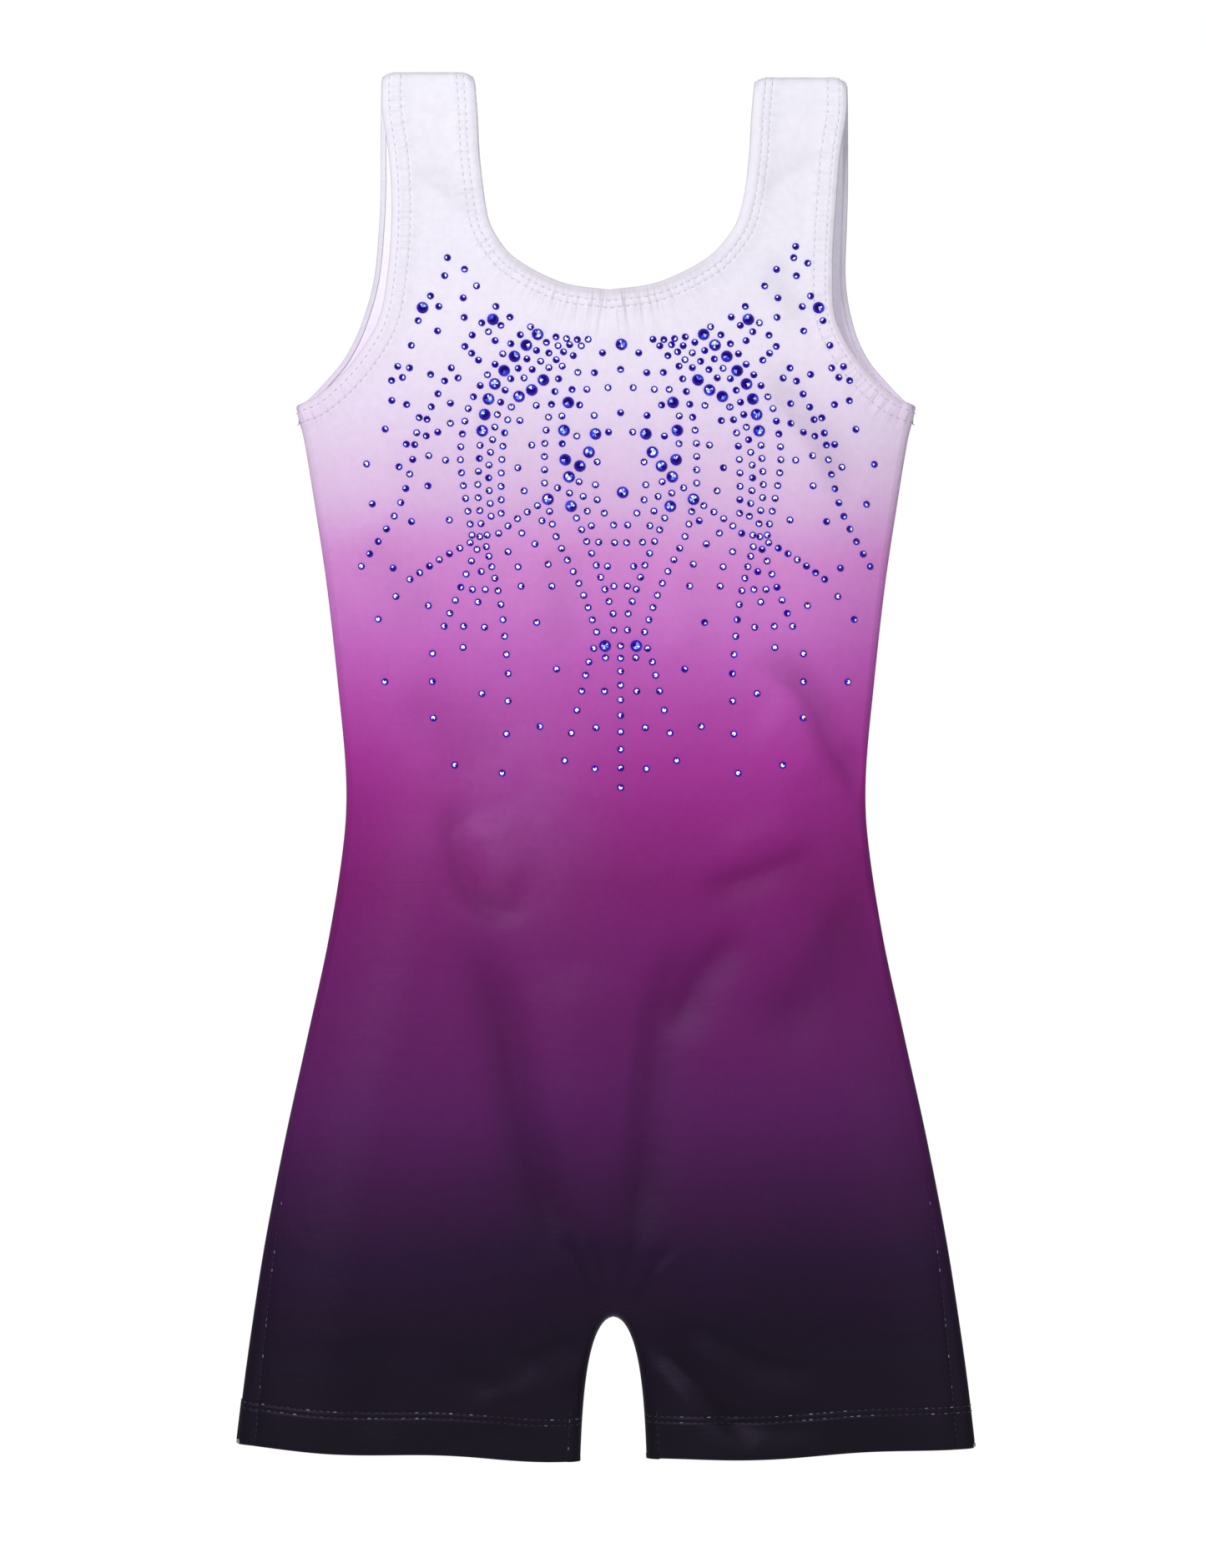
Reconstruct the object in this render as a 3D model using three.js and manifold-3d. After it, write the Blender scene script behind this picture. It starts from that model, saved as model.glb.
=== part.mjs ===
// Child's gymnastics leotard with short legs, sleeveless, with a crystal motif on the chest.
// Millimetres, +Z up, front facing -Y. It hangs flat by its straps, with a little air inside.
// z = 0 is the top of the higher strap, x = 0 the middle of the body.

import * as THREE from "three";
import { mergeVertices } from "three/addons/utils/BufferGeometryUtils.js";
import Module from "manifold-3d";

const wasm = await Module();
wasm.setup();

// ---- Driving dimensions ----

const FABRIC = 0.9; // knit, front and back panel
const ELASTIC = 0.5; // braid inside a casing
const CASING = 0.6; // turned-over edge, stretched thin
const SEAM = 1.0; // overlocked seam allowance
const LINING = 0.7; // gusset
const GAP = 0.3; // air between pieces that touch

const UNDERARM = -134;
const SPLIT_TOP = [3, -496.5]; // top of the split between the legs
const SPLIT_HALF_WIDTH = 14;
const HEM_INNER = -553.5; // lower edge at the inside of a leg
const HEM_OUTER = -548; // lower edge at the outside of a leg
const HEM_DEPTH = 17; // turned-up hem
const STRAP_TOP = { left: 0, right: -2 }; // heights of the two shoulder folds
const CASING_WIDTH = 7.5; // neck and armhole casings
const ELASTIC_WIDTH = 6;
const SEAM_WIDTH = 5;
const EDGE_DEPTH = 4; // half thickness of the body at its side folds
const BACK_NECK_DROP = 6; // the back neckline is this much lower

// Half width of the body, side fold to side fold, at each height.
const HALF_WIDTH = [
  [-560, 149], [-524, 144.8], [-494, 140.6], [-464, 135.8], [-424, 128], [-384, 119.2],
  [-344, 110.6], [-304, 104.6], [-280, 104], [-244, 107.2], [-204, 111.7], [-170, 116.8],
  [-146, 120.8], [UNDERARM, 123.5], [10, 123.5],
];

// Half thickness of the body at its middle, at each height.
const HALF_DEPTH = [
  [-560, 12], [-400, 15.5], [-280, 14], [-140, 10], [-60, 5.5], [0, 4.6], [10, 4.6],
];

// How far inside the side fold the side seam runs on the front, at each height.
const SEAM_INSET = [[-560, 8.5], [-520, 7], [-440, 4], [-280, 3], [UNDERARM, 3.5], [10, 3.5]];

// Half outlines of the openings, from the strap's top corner down: distance from the middle,
// height. The body's other half mirrors them.
const NECK = [
  [62, 0.5], [57, -1.4], [55.2, -6], [54.6, -16], [53.6, -34], [50.8, -54], [47, -64],
  [37.8, -74.5], [19, -84], [0, -87],
];
const ARMHOLE_FRONT = [
  [87, 0.5], [91.6, -1.4], [92.9, -6], [92.4, -17], [89.8, -35], [88.4, -60], [88.8, -82],
  [90.8, -98], [97.3, -111], [106.5, -122], [123.5, UNDERARM],
];
const ARMHOLE_BACK = [
  [87, 0.5], [92, -1.4], [93.4, -6], [93.5, -28], [93.6, -60], [94.6, -83], [98.9, -101],
  [104.8, -113.5], [112, -122.5], [123.5, UNDERARM],
];

// Large crystals: distance from the motif's middle line, height. Each is set left and right.
const MOTIF_MIDDLE = 5.8;
const CRYSTAL_RADIUS = 2.35;
const CRYSTAL_HEIGHT = 1.7;
const CRYSTALS = {
  arc: [
    [33, -105], [37.5, -109.3], [42.2, -113.8], [46.3, -119.5], [50, -124.8], [52.5, -130.8],
    [54, -137], [55, -143.5],
  ],
  row: [[30.7, -123.2], [35.3, -127.2], [40.4, -129.8]],
  cluster: [
    [20.8, -132.2], [22.5, -143.3], [10, -144.7], [12.6, -152], [22, -155], [16.2, -157.5],
    [20.5, -161.8], [28.9, -170.7], [19.7, -173.5],
  ],
  pair: [[6.2, -229]],
};
const CRYSTALS_MIDDLE = [[0.3, -109], [0.8, -168]];

// ---- The body's form ----

/** Smooth value at z from [z, value] pairs in rising order of z: cubic pieces. */
function along(pairs, z) {
  const last = pairs.length - 1;
  let i = 0;
  while (i < last - 1 && z > pairs[i + 1][0]) i += 1;
  const [z0, v0] = pairs[i];
  const [z1, v1] = pairs[i + 1];
  const slope = (k) => {
    const [a, b] = [pairs[Math.max(k - 1, 0)], pairs[Math.min(k + 1, last)]];
    return ((b[1] - a[1]) / (b[0] - a[0])) * (z1 - z0);
  };
  const t = THREE.MathUtils.clamp((z - z0) / (z1 - z0), 0, 1);
  const near = (1 + 2 * t) * (1 - t) ** 2 * v0 + t * (1 - t) ** 2 * slope(i);
  return near + t * t * (3 - 2 * t) * v1 + t * t * (t - 1) * slope(i + 1);
}

/** The straps lean a little to +X, as the garment hangs. */
function lean(z) {
  return 3.4 * THREE.MathUtils.smoothstep(z, -120, -40);
}

/** Half width of the split between the legs, at a drop below its top. */
function splitHalfWidth(drop) {
  return SPLIT_HALF_WIDTH * Math.sqrt(1 - Math.exp(-drop / 26));
}

/** Rises from 0 at an edge to 1 at the given width in from it, as a quarter circle does. */
function rounded(distance, width) {
  const t = 1 - THREE.MathUtils.clamp(distance / width, 0, 1);
  return Math.sqrt(1 - t * t);
}

/** Half thickness of the body at x, z: thin along its side folds and around the split. */
function halfDepth(x, z) {
  const side = along(HALF_WIDTH, z) - Math.abs(x - lean(z));
  const across = Math.abs(x - SPLIT_TOP[0]);
  const drop = SPLIT_TOP[1] - z;
  const split = drop < 0 ? Math.hypot(across, drop) : across - splitHalfWidth(drop);
  const full = along(HALF_DEPTH, z) - EDGE_DEPTH;
  return EDGE_DEPTH + full * rounded(side, 32) * rounded(split, 34);
}

// ---- Solids ----

/** A closed geometry as a manifold solid. */
function solid(geometry) {
  geometry.deleteAttribute("normal");
  geometry.deleteAttribute("uv");
  const merged = mergeVertices(geometry, 1e-4);
  return new wasm.Manifold(new wasm.Mesh({
    numProp: 3,
    vertProperties: merged.attributes.position.array,
    triVerts: new Uint32Array(merged.index.array),
  }));
}

/** A named mesh from a manifold solid. */
function mesh(name, body, material) {
  const data = body.getMesh();
  const geometry = new THREE.BufferGeometry();
  geometry.setAttribute("position", new THREE.BufferAttribute(data.vertProperties, 3));
  geometry.setIndex(new THREE.BufferAttribute(data.triVerts, 1));
  geometry.computeVertexNormals();
  const result = new THREE.Mesh(geometry, material);
  result.name = name;
  return result;
}

/** A prism with an outline in x and z, reaching from y = from to y = to. */
function prism(points, from = -60, to = 60) {
  const shape = new THREE.Shape(points.map(([x, z]) => new THREE.Vector2(x, z)));
  const geometry = new THREE.ExtrudeGeometry(shape, { depth: to - from, bevelEnabled: false });
  return solid(geometry.rotateX(Math.PI / 2).translate(0, to, 0));
}

/** The body as one pillow whose front and back lie "inset" inside the outer surface. */
function pillow(inset) {
  const geometry = new THREE.BoxGeometry(2, 2, 1, 20, 1, 21);
  const at = geometry.attributes.position;
  for (let i = 0; i < at.count; i += 1) {
    const z = -277 + 566 * at.getZ(i);
    const reach = along(HALF_WIDTH, z) + 2;
    const x = lean(z) + reach * Math.sin((at.getX(i) * Math.PI) / 2);
    at.setXYZ(i, x, at.getY(i) * (halfDepth(x, z) - inset), z);
  }
  return solid(geometry);
}

/** One side fold from the underarm to below the hem, moved inwards; side is -1 or 1. */
function sideFold(side, inset) {
  const points = [];
  for (let z = UNDERARM; z > -575; z -= 15) {
    points.push([lean(z) + side * (along(HALF_WIDTH, z) - inset(z)), z]);
  }
  return points;
}

/** The region between both side folds, moved inwards, and under the strap tops. */
function silhouette(inset, topInset, from, to) {
  const right = sideFold(1, inset);
  const left = sideFold(-1, inset).reverse();
  const [low, high] = [STRAP_TOP.right - topInset, STRAP_TOP.left - topInset];
  return prism([
    ...right, ...left, [-150, UNDERARM], [-150, high], [0, high], [0, low], [150, low],
    [150, UNDERARM],
  ], from, to);
}

/** The split between the legs, grown by "grow". */
function split(grow, from, to) {
  const half = [0.4, 1.6, 4, 8, 14, 22, 34, 52, 80].map((drop) => [
    splitHalfWidth(drop) + grow, SPLIT_TOP[1] - drop,
  ]);
  const right = half.map(([d, z]) => [SPLIT_TOP[0] + d, z]);
  const left = half.map(([d, z]) => [SPLIT_TOP[0] - d, z]).reverse();
  const arch = [-0.85, -0.5, 0, 0.5, 0.85].map((s) => [
    SPLIT_TOP[0] + s * grow, SPLIT_TOP[1] + grow * Math.sqrt(1 - s * s),
  ]);
  return prism([...(grow > 0 ? arch : [[...SPLIT_TOP]]), ...right, ...left], from, to);
}

/** Everything below the hem line raised by "rise"; the line rises towards the outside. */
function belowHem(rise) {
  const line = [-160, SPLIT_TOP[0] - 13, SPLIT_TOP[0] + 13, 160].map((x) => {
    const t = (Math.abs(x - SPLIT_TOP[0]) - 13) / 132;
    return [x, rise + HEM_INNER + (HEM_OUTER - HEM_INNER) * Math.max(t, 0)];
  });
  return prism([...line, [160, -620], [-160, -620]]);
}

/**
 * A half outline as a smooth curve on side -1 or 1, moved sideways by "out" and dropped at the
 * middle. A moved curve leaves out the strap's rounded corner and goes straight up instead.
 */
function halfCurve(pairs, side, out, drop = 0) {
  const kept = out === 0 ? pairs : [[pairs[2][0], 20], ...pairs.slice(2)];
  const curve = new THREE.SplineCurve(kept.map(([d, z]) => new THREE.Vector2(d, z)));
  const points = curve.getPoints(2 * (kept.length - 1));
  return points.map((p, i) => {
    const run = curve.getTangent(i / (points.length - 1));
    const x = side * (p.x - run.y * out);
    return [lean(p.y) + x, p.y + run.x * out - drop * THREE.MathUtils.smoothstep(-p.y, 30, 87)];
  });
}

/** The neck opening, grown by "grow". */
function neckHole(grow, drop, from, to) {
  const right = halfCurve(NECK, 1, grow, drop);
  const left = halfCurve(NECK, -1, grow, drop).reverse().slice(1);
  return prism([[right[0][0], 30], ...right, ...left, [left.at(-1)[0], 30]], from, to);
}

/** One armhole and all beyond it, grown by "grow". */
function armHole(pairs, side, grow, from, to) {
  const edge = halfCurve(pairs, side, -grow);
  const low = edge.at(-1)[1];
  return prism([[edge[0][0], 30], ...edge, [side * 170, low], [side * 170, 30]], from, to);
}

/** A layer of the body between two insets, closed at the side folds, strap tops and split. */
function layer(inset, thickness) {
  const closed = (deep) => pillow(deep)
    .intersect(silhouette(() => deep, deep, -60, 60))
    .subtract(split(deep, -60, 60));
  return closed(inset).subtract(closed(inset + thickness));
}

const FRONT = [-60, 0.05];
const BACK = [0, 60];

/** A ring along the neck edge, front and back, "near" to "far" from the edge. */
function neckRing(near, far) {
  const band = (drop, span) => neckHole(far, drop, ...span).subtract(neckHole(near, drop, -70, 70));
  return band(0, FRONT).add(band(BACK_NECK_DROP, BACK));
}

/** A ring along one armhole's edge, front and back. */
function armRing(side, near, far) {
  const band = (pairs, span) => armHole(pairs, side, far, ...span)
    .subtract(armHole(pairs, side, near, -70, 70));
  return band(ARMHOLE_FRONT, FRONT).add(band(ARMHOLE_BACK, BACK));
}

/** A plain block between two corners. */
function block([x0, y0, z0], [x1, y1, z1]) {
  const geometry = new THREE.BoxGeometry(x1 - x0, y1 - y0, z1 - z0);
  return solid(geometry.translate((x0 + x1) / 2, (y0 + y1) / 2, (z0 + z1) / 2));
}

// ---- Sub-parts ----

const look = (color, roughness = 0.55, metalness = 0) => (
  new THREE.MeshStandardMaterial({ color, roughness, metalness })
);
const LOOKS = {
  knit: look(0xb768ad, 0.45), backKnit: look(0xa85a9f, 0.45), hem: look(0x1d1a22, 0.5),
  casing: look(0xe9e2f3, 0.5), elastic: look(0xf4f4f4, 0.8), seam: look(0x6a3566, 0.8),
  gusset: look(0xf2eef6, 0.8), crystal: look(0x2b3f9e, 0.1, 0.3),
};

/** The front panel stops at the side seams, which lie just inside the folds. */
function frontPanel() {
  const cut = silhouette((z) => along(SEAM_INSET, z), -5, -60, -GAP / 2);
  const body = layer(0, FABRIC).intersect(cut).subtract(neckHole(0, 0, -70, 70))
    .subtract(armHole(ARMHOLE_FRONT, 1, 0, -70, 70))
    .subtract(armHole(ARMHOLE_FRONT, -1, 0, -70, 70))
    .subtract(split(SEAM_WIDTH, -70, 70)).subtract(belowHem(0));
  return mesh("front_panel", body, LOOKS.knit);
}

/** The back panel wraps round both side folds and the split to meet the front panel. */
function backPanel() {
  const front = silhouette((z) => along(SEAM_INSET, z) - GAP, -5, -60, GAP / 2)
    .subtract(split(SEAM_WIDTH - GAP, -70, 70));
  const body = layer(0, FABRIC).subtract(front).subtract(neckHole(0, BACK_NECK_DROP, -70, 70))
    .subtract(armHole(ARMHOLE_BACK, 1, 0, -70, 70))
    .subtract(armHole(ARMHOLE_BACK, -1, 0, -70, 70)).subtract(belowHem(0));
  return mesh("back_panel", body, LOOKS.backKnit);
}

/** Elastic and the turned-over edge that holds it, round the neck. */
function neckline() {
  const first = FABRIC + GAP;
  const second = first + ELASTIC + GAP;
  return [
    mesh("neckline_elastic", layer(first, ELASTIC).intersect(neckRing(0.7, 0.7 + ELASTIC_WIDTH)),
      LOOKS.elastic),
    mesh("neckline_casing", layer(second, CASING).intersect(neckRing(0.2, CASING_WIDTH)),
      LOOKS.casing),
  ];
}

/** The same round one arm. */
function armhole(name, side) {
  const first = FABRIC + GAP;
  const second = first + ELASTIC + GAP;
  return [
    mesh(`${name}_armhole_elastic`,
      layer(first, ELASTIC).intersect(armRing(side, 0.7, 0.7 + ELASTIC_WIDTH)), LOOKS.elastic),
    mesh(`${name}_armhole_casing`,
      layer(second, CASING).intersect(armRing(side, 0.2, CASING_WIDTH)), LOOKS.casing),
  ];
}

/** The turned-up hem inside one leg. */
function hem(name, side) {
  const [inner, outer] = [SPLIT_TOP[0], SPLIT_TOP[0] + side * 200];
  const half = block([Math.min(inner, outer), -60, -600], [Math.max(inner, outer), 60, -500]);
  const body = layer(FABRIC + GAP, FABRIC).intersect(belowHem(HEM_DEPTH))
    .subtract(belowHem(0.2)).intersect(half);
  return mesh(`${name}_leg_hem`, body, LOOKS.hem);
}

/** The seam allowance inside one side, from under the armhole casing to above the hem. */
function sideSeam(name, side) {
  const [near, far] = [-SEAM_WIDTH / 2, SEAM_WIDTH / 2].map((d) => (
    sideFold(side, (z) => along(SEAM_INSET, z) + d)
  ));
  const strip = prism([...near, ...far.reverse()], -60, -0.5)
    .subtract(block([-200, -70, UNDERARM - CASING_WIDTH - 1], [200, 70, 0]))
    .subtract(belowHem(HEM_DEPTH + 1));
  return mesh(`${name}_side_seam`, layer(FABRIC + GAP, SEAM).intersect(strip), LOOKS.seam);
}

/** The seam allowance that runs from one hem up over the split and down to the other hem. */
function inseam() {
  const strip = split(SEAM_WIDTH * 1.5, -60, -0.5).subtract(split(SEAM_WIDTH / 2, -70, 70))
    .subtract(belowHem(HEM_DEPTH + 1));
  return mesh("inseam", layer(FABRIC + GAP, SEAM).intersect(strip), LOOKS.seam);
}

/** The seam allowance under one shoulder fold, between the two casings. */
function shoulderSeam(name, side, top) {
  const [near, far] = [55.2 + CASING_WIDTH + 1.5, 93.2 - CASING_WIDTH - 1.5];
  const x = [near, far].map((d) => lean(0) + side * d);
  const strip = block([Math.min(...x), -60, top - SEAM_WIDTH], [Math.max(...x), 60, 10]);
  return mesh(`${name}_shoulder_seam`, layer(FABRIC + GAP, SEAM).intersect(strip), LOOKS.seam);
}

/** The lining patch between the legs, front and back, a kite with its narrow end in front. */
function gusset() {
  const [x, z] = SPLIT_TOP;
  const kite = (rise, wide, span) => prism([
    [x, z + rise], [x + wide * 0.45, z + rise * 0.95], [x + wide, z + 2], [x + 13, z - 14],
    [x - 13, z - 14], [x - wide, z + 2], [x - wide * 0.45, z + rise * 0.95],
  ], ...span);
  const region = kite(62, 30, FRONT).add(kite(74, 30, BACK));
  return mesh("crotch_gusset", layer(FABRIC + GAP + SEAM + GAP, LINING).intersect(region),
    LOOKS.gusset);
}

/** A flat-backed faceted crystal glued on the front at x, z. */
function crystal(name, x, z) {
  const [r, h] = [CRYSTAL_RADIUS, CRYSTAL_HEIGHT];
  const profile = [[0, 0], [r, 0], [r, h * 0.3], [r * 0.5, h], [0, h]];
  const geometry = new THREE.LatheGeometry(profile.map(([a, b]) => new THREE.Vector2(a, b)), 8);
  const slope = (dx, dz) => (halfDepth(x + dx, z + dz) - halfDepth(x - dx, z - dz)) / 2;
  const outward = new THREE.Vector3(slope(1, 0), -1, slope(0, 1)).multiply(
    new THREE.Vector3(-1, 1, -1),
  ).normalize();
  const seat = new THREE.Vector3(x, -halfDepth(x, z), z).addScaledVector(outward, GAP + 0.1);
  const turn = new THREE.Quaternion().setFromUnitVectors(new THREE.Vector3(0, 1, 0), outward);
  geometry.applyQuaternion(turn).translate(seat.x, seat.y, seat.z);
  return mesh(name, solid(geometry), LOOKS.crystal);
}

/** The motif's large crystals, mirrored left and right of its middle line. */
function crystals() {
  const set = CRYSTALS_MIDDLE.map(([d, z], i) => (
    crystal(`crystal_middle_${i + 1}`, MOTIF_MIDDLE + d, z)
  ));
  for (const [group, places] of Object.entries(CRYSTALS)) {
    for (const [i, [d, z]] of places.entries()) {
      set.push(crystal(`crystal_${group}_left_${i + 1}`, MOTIF_MIDDLE - d, z));
      set.push(crystal(`crystal_${group}_right_${i + 1}`, MOTIF_MIDDLE + d, z));
    }
  }
  return set;
}

const leotard = new THREE.Group();
leotard.name = "leotard";
leotard.add(
  frontPanel(), backPanel(), ...neckline(), ...armhole("left", -1), ...armhole("right", 1),
  hem("left", -1), hem("right", 1), sideSeam("left", -1), sideSeam("right", 1), inseam(),
  shoulderSeam("left", -1, STRAP_TOP.left), shoulderSeam("right", 1, STRAP_TOP.right), gusset(),
  ...crystals(),
);

export default leotard;
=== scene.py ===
"""Child's gymnastics leotard with short legs, hanging by its straps: the fine visual model.

Sizes in this file are millimetres and are turned into metres when a mesh is made. The garment faces
-Y, z = 0 is the top of the higher strap and x = 0 the middle of the body.
"""

import logging
import math
from dataclasses import dataclass
from enum import Enum

import bpy
import numpy as np
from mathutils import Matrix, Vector
from mathutils.geometry import delaunay_2d_cdt


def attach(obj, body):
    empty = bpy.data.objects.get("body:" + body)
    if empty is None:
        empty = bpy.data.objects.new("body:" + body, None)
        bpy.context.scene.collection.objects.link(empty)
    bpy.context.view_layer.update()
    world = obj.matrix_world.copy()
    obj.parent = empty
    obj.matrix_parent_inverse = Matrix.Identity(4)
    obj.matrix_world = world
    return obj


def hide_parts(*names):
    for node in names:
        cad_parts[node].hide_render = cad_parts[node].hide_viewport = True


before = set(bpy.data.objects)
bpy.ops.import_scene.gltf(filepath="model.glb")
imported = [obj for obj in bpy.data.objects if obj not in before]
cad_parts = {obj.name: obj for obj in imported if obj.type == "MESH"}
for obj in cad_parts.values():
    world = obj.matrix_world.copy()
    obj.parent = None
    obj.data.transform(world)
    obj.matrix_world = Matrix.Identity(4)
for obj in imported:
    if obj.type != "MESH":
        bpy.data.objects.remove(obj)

LOG = logging.getLogger("leotard")
Array = np.ndarray
Pairs = tuple[tuple[float, float], ...]
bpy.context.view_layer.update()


class Side(Enum):
    """Left and right as seen from the front; the value is the sign of x."""

    LEFT = -1
    RIGHT = 1

    @property
    def word(self) -> str:
        """The side's name as pieces carry it."""
        return self.name.lower()


class Face(Enum):
    """Front or back of the body; the value is the sign of y."""

    FRONT = -1
    BACK = 1


class EdgeKind(Enum):
    """What a stretch of a panel's outline is."""

    TURNED = "turned edge with elastic"
    HEM = "hem"
    SEAM = "seam"
    SHOULDER = "shoulder"
    SPLIT = "fold round the split"


class Seed(Enum):
    """Start of each piece's random shades or turns."""

    LARGE_CRYSTALS = 5
    SMALL_CRYSTALS = 7
    EDGES = 11
    HEMS = 23
    SIDE_SEAMS = 31
    INNER_SEAMS = 37


# ---- Curves ----


def smoothstep(value: Array, low: float, high: float) -> Array:
    """Smooth rise from 0 to 1.

    Args:
        value: Where to read it.
        low: Where it starts.
        high: Where it ends.

    Returns:
        3t^2 - 2t^3 with t the share of the way from low to high, kept between 0 and 1.
    """
    t = np.clip((np.asarray(value, float) - low) / (high - low), 0, 1)
    return t * t * (3 - 2 * t)


def along(pairs: Pairs, z: Array) -> Array:
    """Smooth value at height z: cubic pieces through the pairs, with slopes from their neighbours.

    Args:
        pairs: (z, value) in rising order of z.
        z: Heights.

    Returns:
        The values.
    """
    at, value = np.array(pairs, float).T
    z = np.clip(np.asarray(z, float), at[0], at[-1])
    slope = np.gradient(value)
    slope[1:-1] = (value[2:] - value[:-2]) / (at[2:] - at[:-2])
    slope[0] = (value[1] - value[0]) / (at[1] - at[0])
    slope[-1] = (value[-1] - value[-2]) / (at[-1] - at[-2])
    i = np.clip(np.searchsorted(at, z) - 1, 0, len(at) - 2)
    step = at[i + 1] - at[i]
    t = (z - at[i]) / step
    near = (1 + 2 * t) * (1 - t) ** 2 * value[i] + t * (1 - t) ** 2 * slope[i] * step
    return near + t * t * (3 - 2 * t) * value[i + 1] + t * t * (t - 1) * slope[i + 1] * step


def rounded(distance: Array, width: float) -> Array:
    """Rises from 0 at an edge to 1 at the width in from it, as a quarter circle does."""
    t = 1 - np.clip(np.asarray(distance, float) / width, 0, 1)
    return np.sqrt(1 - t * t)


def swelling(distance: Array, width: float) -> Array:
    """Rises from 0 at an edge to 1 at the width in from it, as a parabola does."""
    t = 1 - np.clip(np.asarray(distance, float) / width, 0, 1)
    return 1 - t * t


def unit(vectors: Array) -> Array:
    """Vectors brought to length 1, along the last axis."""
    return vectors / np.maximum(np.linalg.norm(vectors, axis=-1, keepdims=True), 1e-9)


def run_of(line: Array) -> Array:
    """Distance along a flat line at each of its points."""
    return np.r_[0, np.cumsum(np.hypot(*np.diff(line, axis=0).T))]


def read_at(at: Array, run: Array, values: Array) -> Array:
    """Columns of values that are known at the positions "run", read at other positions."""
    return np.column_stack([np.interp(at, run, column) for column in values.T])


def resample(line: Array, step: float) -> Array:
    """Points evenly spaced along a line, about "step" apart, with its ends kept."""
    run = run_of(line)
    return read_at(np.linspace(0, run[-1], max(int(round(run[-1] / step)), 1) + 1), run, line)


def spline(points: Array | Pairs, step: float = 1.0) -> Array:
    """Catmull-Rom curve through points, as evenly spaced points.

    Each piece is half of (2b + (c-a)t + (2a-5b+4c-d)t^2 + (3b-a-3c+d)t^3) between b and c.
    """
    p = np.array(points, float)
    p = np.vstack([2 * p[0] - p[1], p, 2 * p[-1] - p[-2]])
    t = np.linspace(0, 1, 25)[:-1, None]
    a, b, c, d = (p[i : len(p) - 3 + i, None] for i in range(4))
    pieces = 2 * b + (c - a) * t + (2 * a - 5 * b + 4 * c - d) * t**2 + (3 * b - a - 3 * c + d) * t**3
    return resample(np.vstack([0.5 * pieces.reshape(-1, p.shape[1]), p[-2:-1]]), step)


def sideways(line: Array) -> Array:
    """Unit vectors square to a flat line, to the left of its direction."""
    run = unit(np.gradient(line, axis=0))
    return np.column_stack([-run[:, 1], run[:, 0]])


def nearest(points: Array, line: Array) -> tuple[Array, Array, Array]:
    """Distance from flat points to a line.

    Args:
        points: (n, 2) points.
        line: (m, 2) points of the line.

    Returns:
        Distances, positions along the line, and the side: 1 to the left of the line, -1 to its right.
    """
    a, d = line[:-1], np.diff(line, axis=0)
    size = np.maximum((d * d).sum(1), 1e-12)
    run = np.r_[0, np.cumsum(np.sqrt(size))]
    found = []
    for part in np.array_split(points, max(len(points) * len(a) // 3_000_000, 1)):
        w = part[:, None] - a
        t = np.clip((w * d).sum(2) / size, 0, 1)
        gap = w - t[..., None] * d
        far = (gap * gap).sum(2)
        k = far.argmin(1)
        i = np.arange(len(part))
        side = np.sign(d[k, 0] * w[i, k, 1] - d[k, 1] * w[i, k, 0])
        found.append(np.column_stack([np.sqrt(far[i, k]), run[k] + t[i, k] * np.sqrt(size[k]), side]))
    return tuple(np.vstack(found).T)


def inside(points: Array, loop: Array) -> Array:
    """Whether flat points lie inside a closed loop, by counting the loop's crossings to the right."""
    (x0, z0), (x1, z1) = loop.T, np.roll(loop, -1, axis=0).T
    found = []
    for x, z in (part.T[:, :, None] for part in np.array_split(points, 12)):
        crosses = (z0 > z) != (z1 > z)
        at = x0 + (z - z0) * (x1 - x0) / np.where(z1 == z0, 1e-12, z1 - z0)
        found.append((crosses & (x < at)).sum(1) % 2 == 1)
    return np.concatenate(found)


# ---- Meshes ----


def make_object(name: str, vertices: Array, faces: list[Array], material: bpy.types.Material,
                smooth: bool = True, points: dict[str, Array] | None = None,
                per_face: dict[str, Array] | None = None) -> bpy.types.Object:
    """Makes a mesh object, at the origin, from millimetres.

    Args:
        name: Its name.
        vertices: (n, 3) in millimetres.
        faces: Arrays of faces, each with as many columns as its faces have corners.
        material: Its finish.
        smooth: Whether it is shaded smooth.
        points: Values at the vertices, by name.
        per_face: Values at the faces, by name.

    Returns:
        The object.
    """
    loops = np.concatenate([part.ravel() for part in faces]).astype(np.int32)
    sizes = np.concatenate([np.full(len(part), part.shape[1]) for part in faces])
    mesh = bpy.data.meshes.new(name)
    mesh.vertices.add(len(vertices))
    mesh.vertices.foreach_set("co", (np.asarray(vertices, float) * 0.001).ravel())
    mesh.loops.add(len(loops))
    mesh.loops.foreach_set("vertex_index", loops)
    mesh.polygons.add(len(sizes))
    mesh.polygons.foreach_set("loop_start", np.r_[0, np.cumsum(sizes)[:-1]].astype(np.int32))
    mesh.polygons.foreach_set("use_smooth", np.full(len(sizes), smooth))
    for domain, values in (("POINT", points or {}), ("FACE", per_face or {})):
        for key, value in values.items():
            mesh.attributes.new(key, "FLOAT", domain).data.foreach_set("value", np.asarray(value, np.float32))
    mesh.update(calc_edges=True)
    mesh.validate()
    mesh.materials.append(material)
    made = bpy.data.objects.new(name, mesh)
    bpy.context.scene.collection.objects.link(made)
    return made


def finish_piece(piece: bpy.types.Object, slot: str, *nodes: str) -> bpy.types.Object:
    """Ties a piece to the body and hides the plain solids it stands for."""
    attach(piece, "root")
    if nodes:
        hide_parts(*nodes)
    LOG.info("%s: %d faces", piece.name, len(piece.data.polygons))
    return piece


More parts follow.
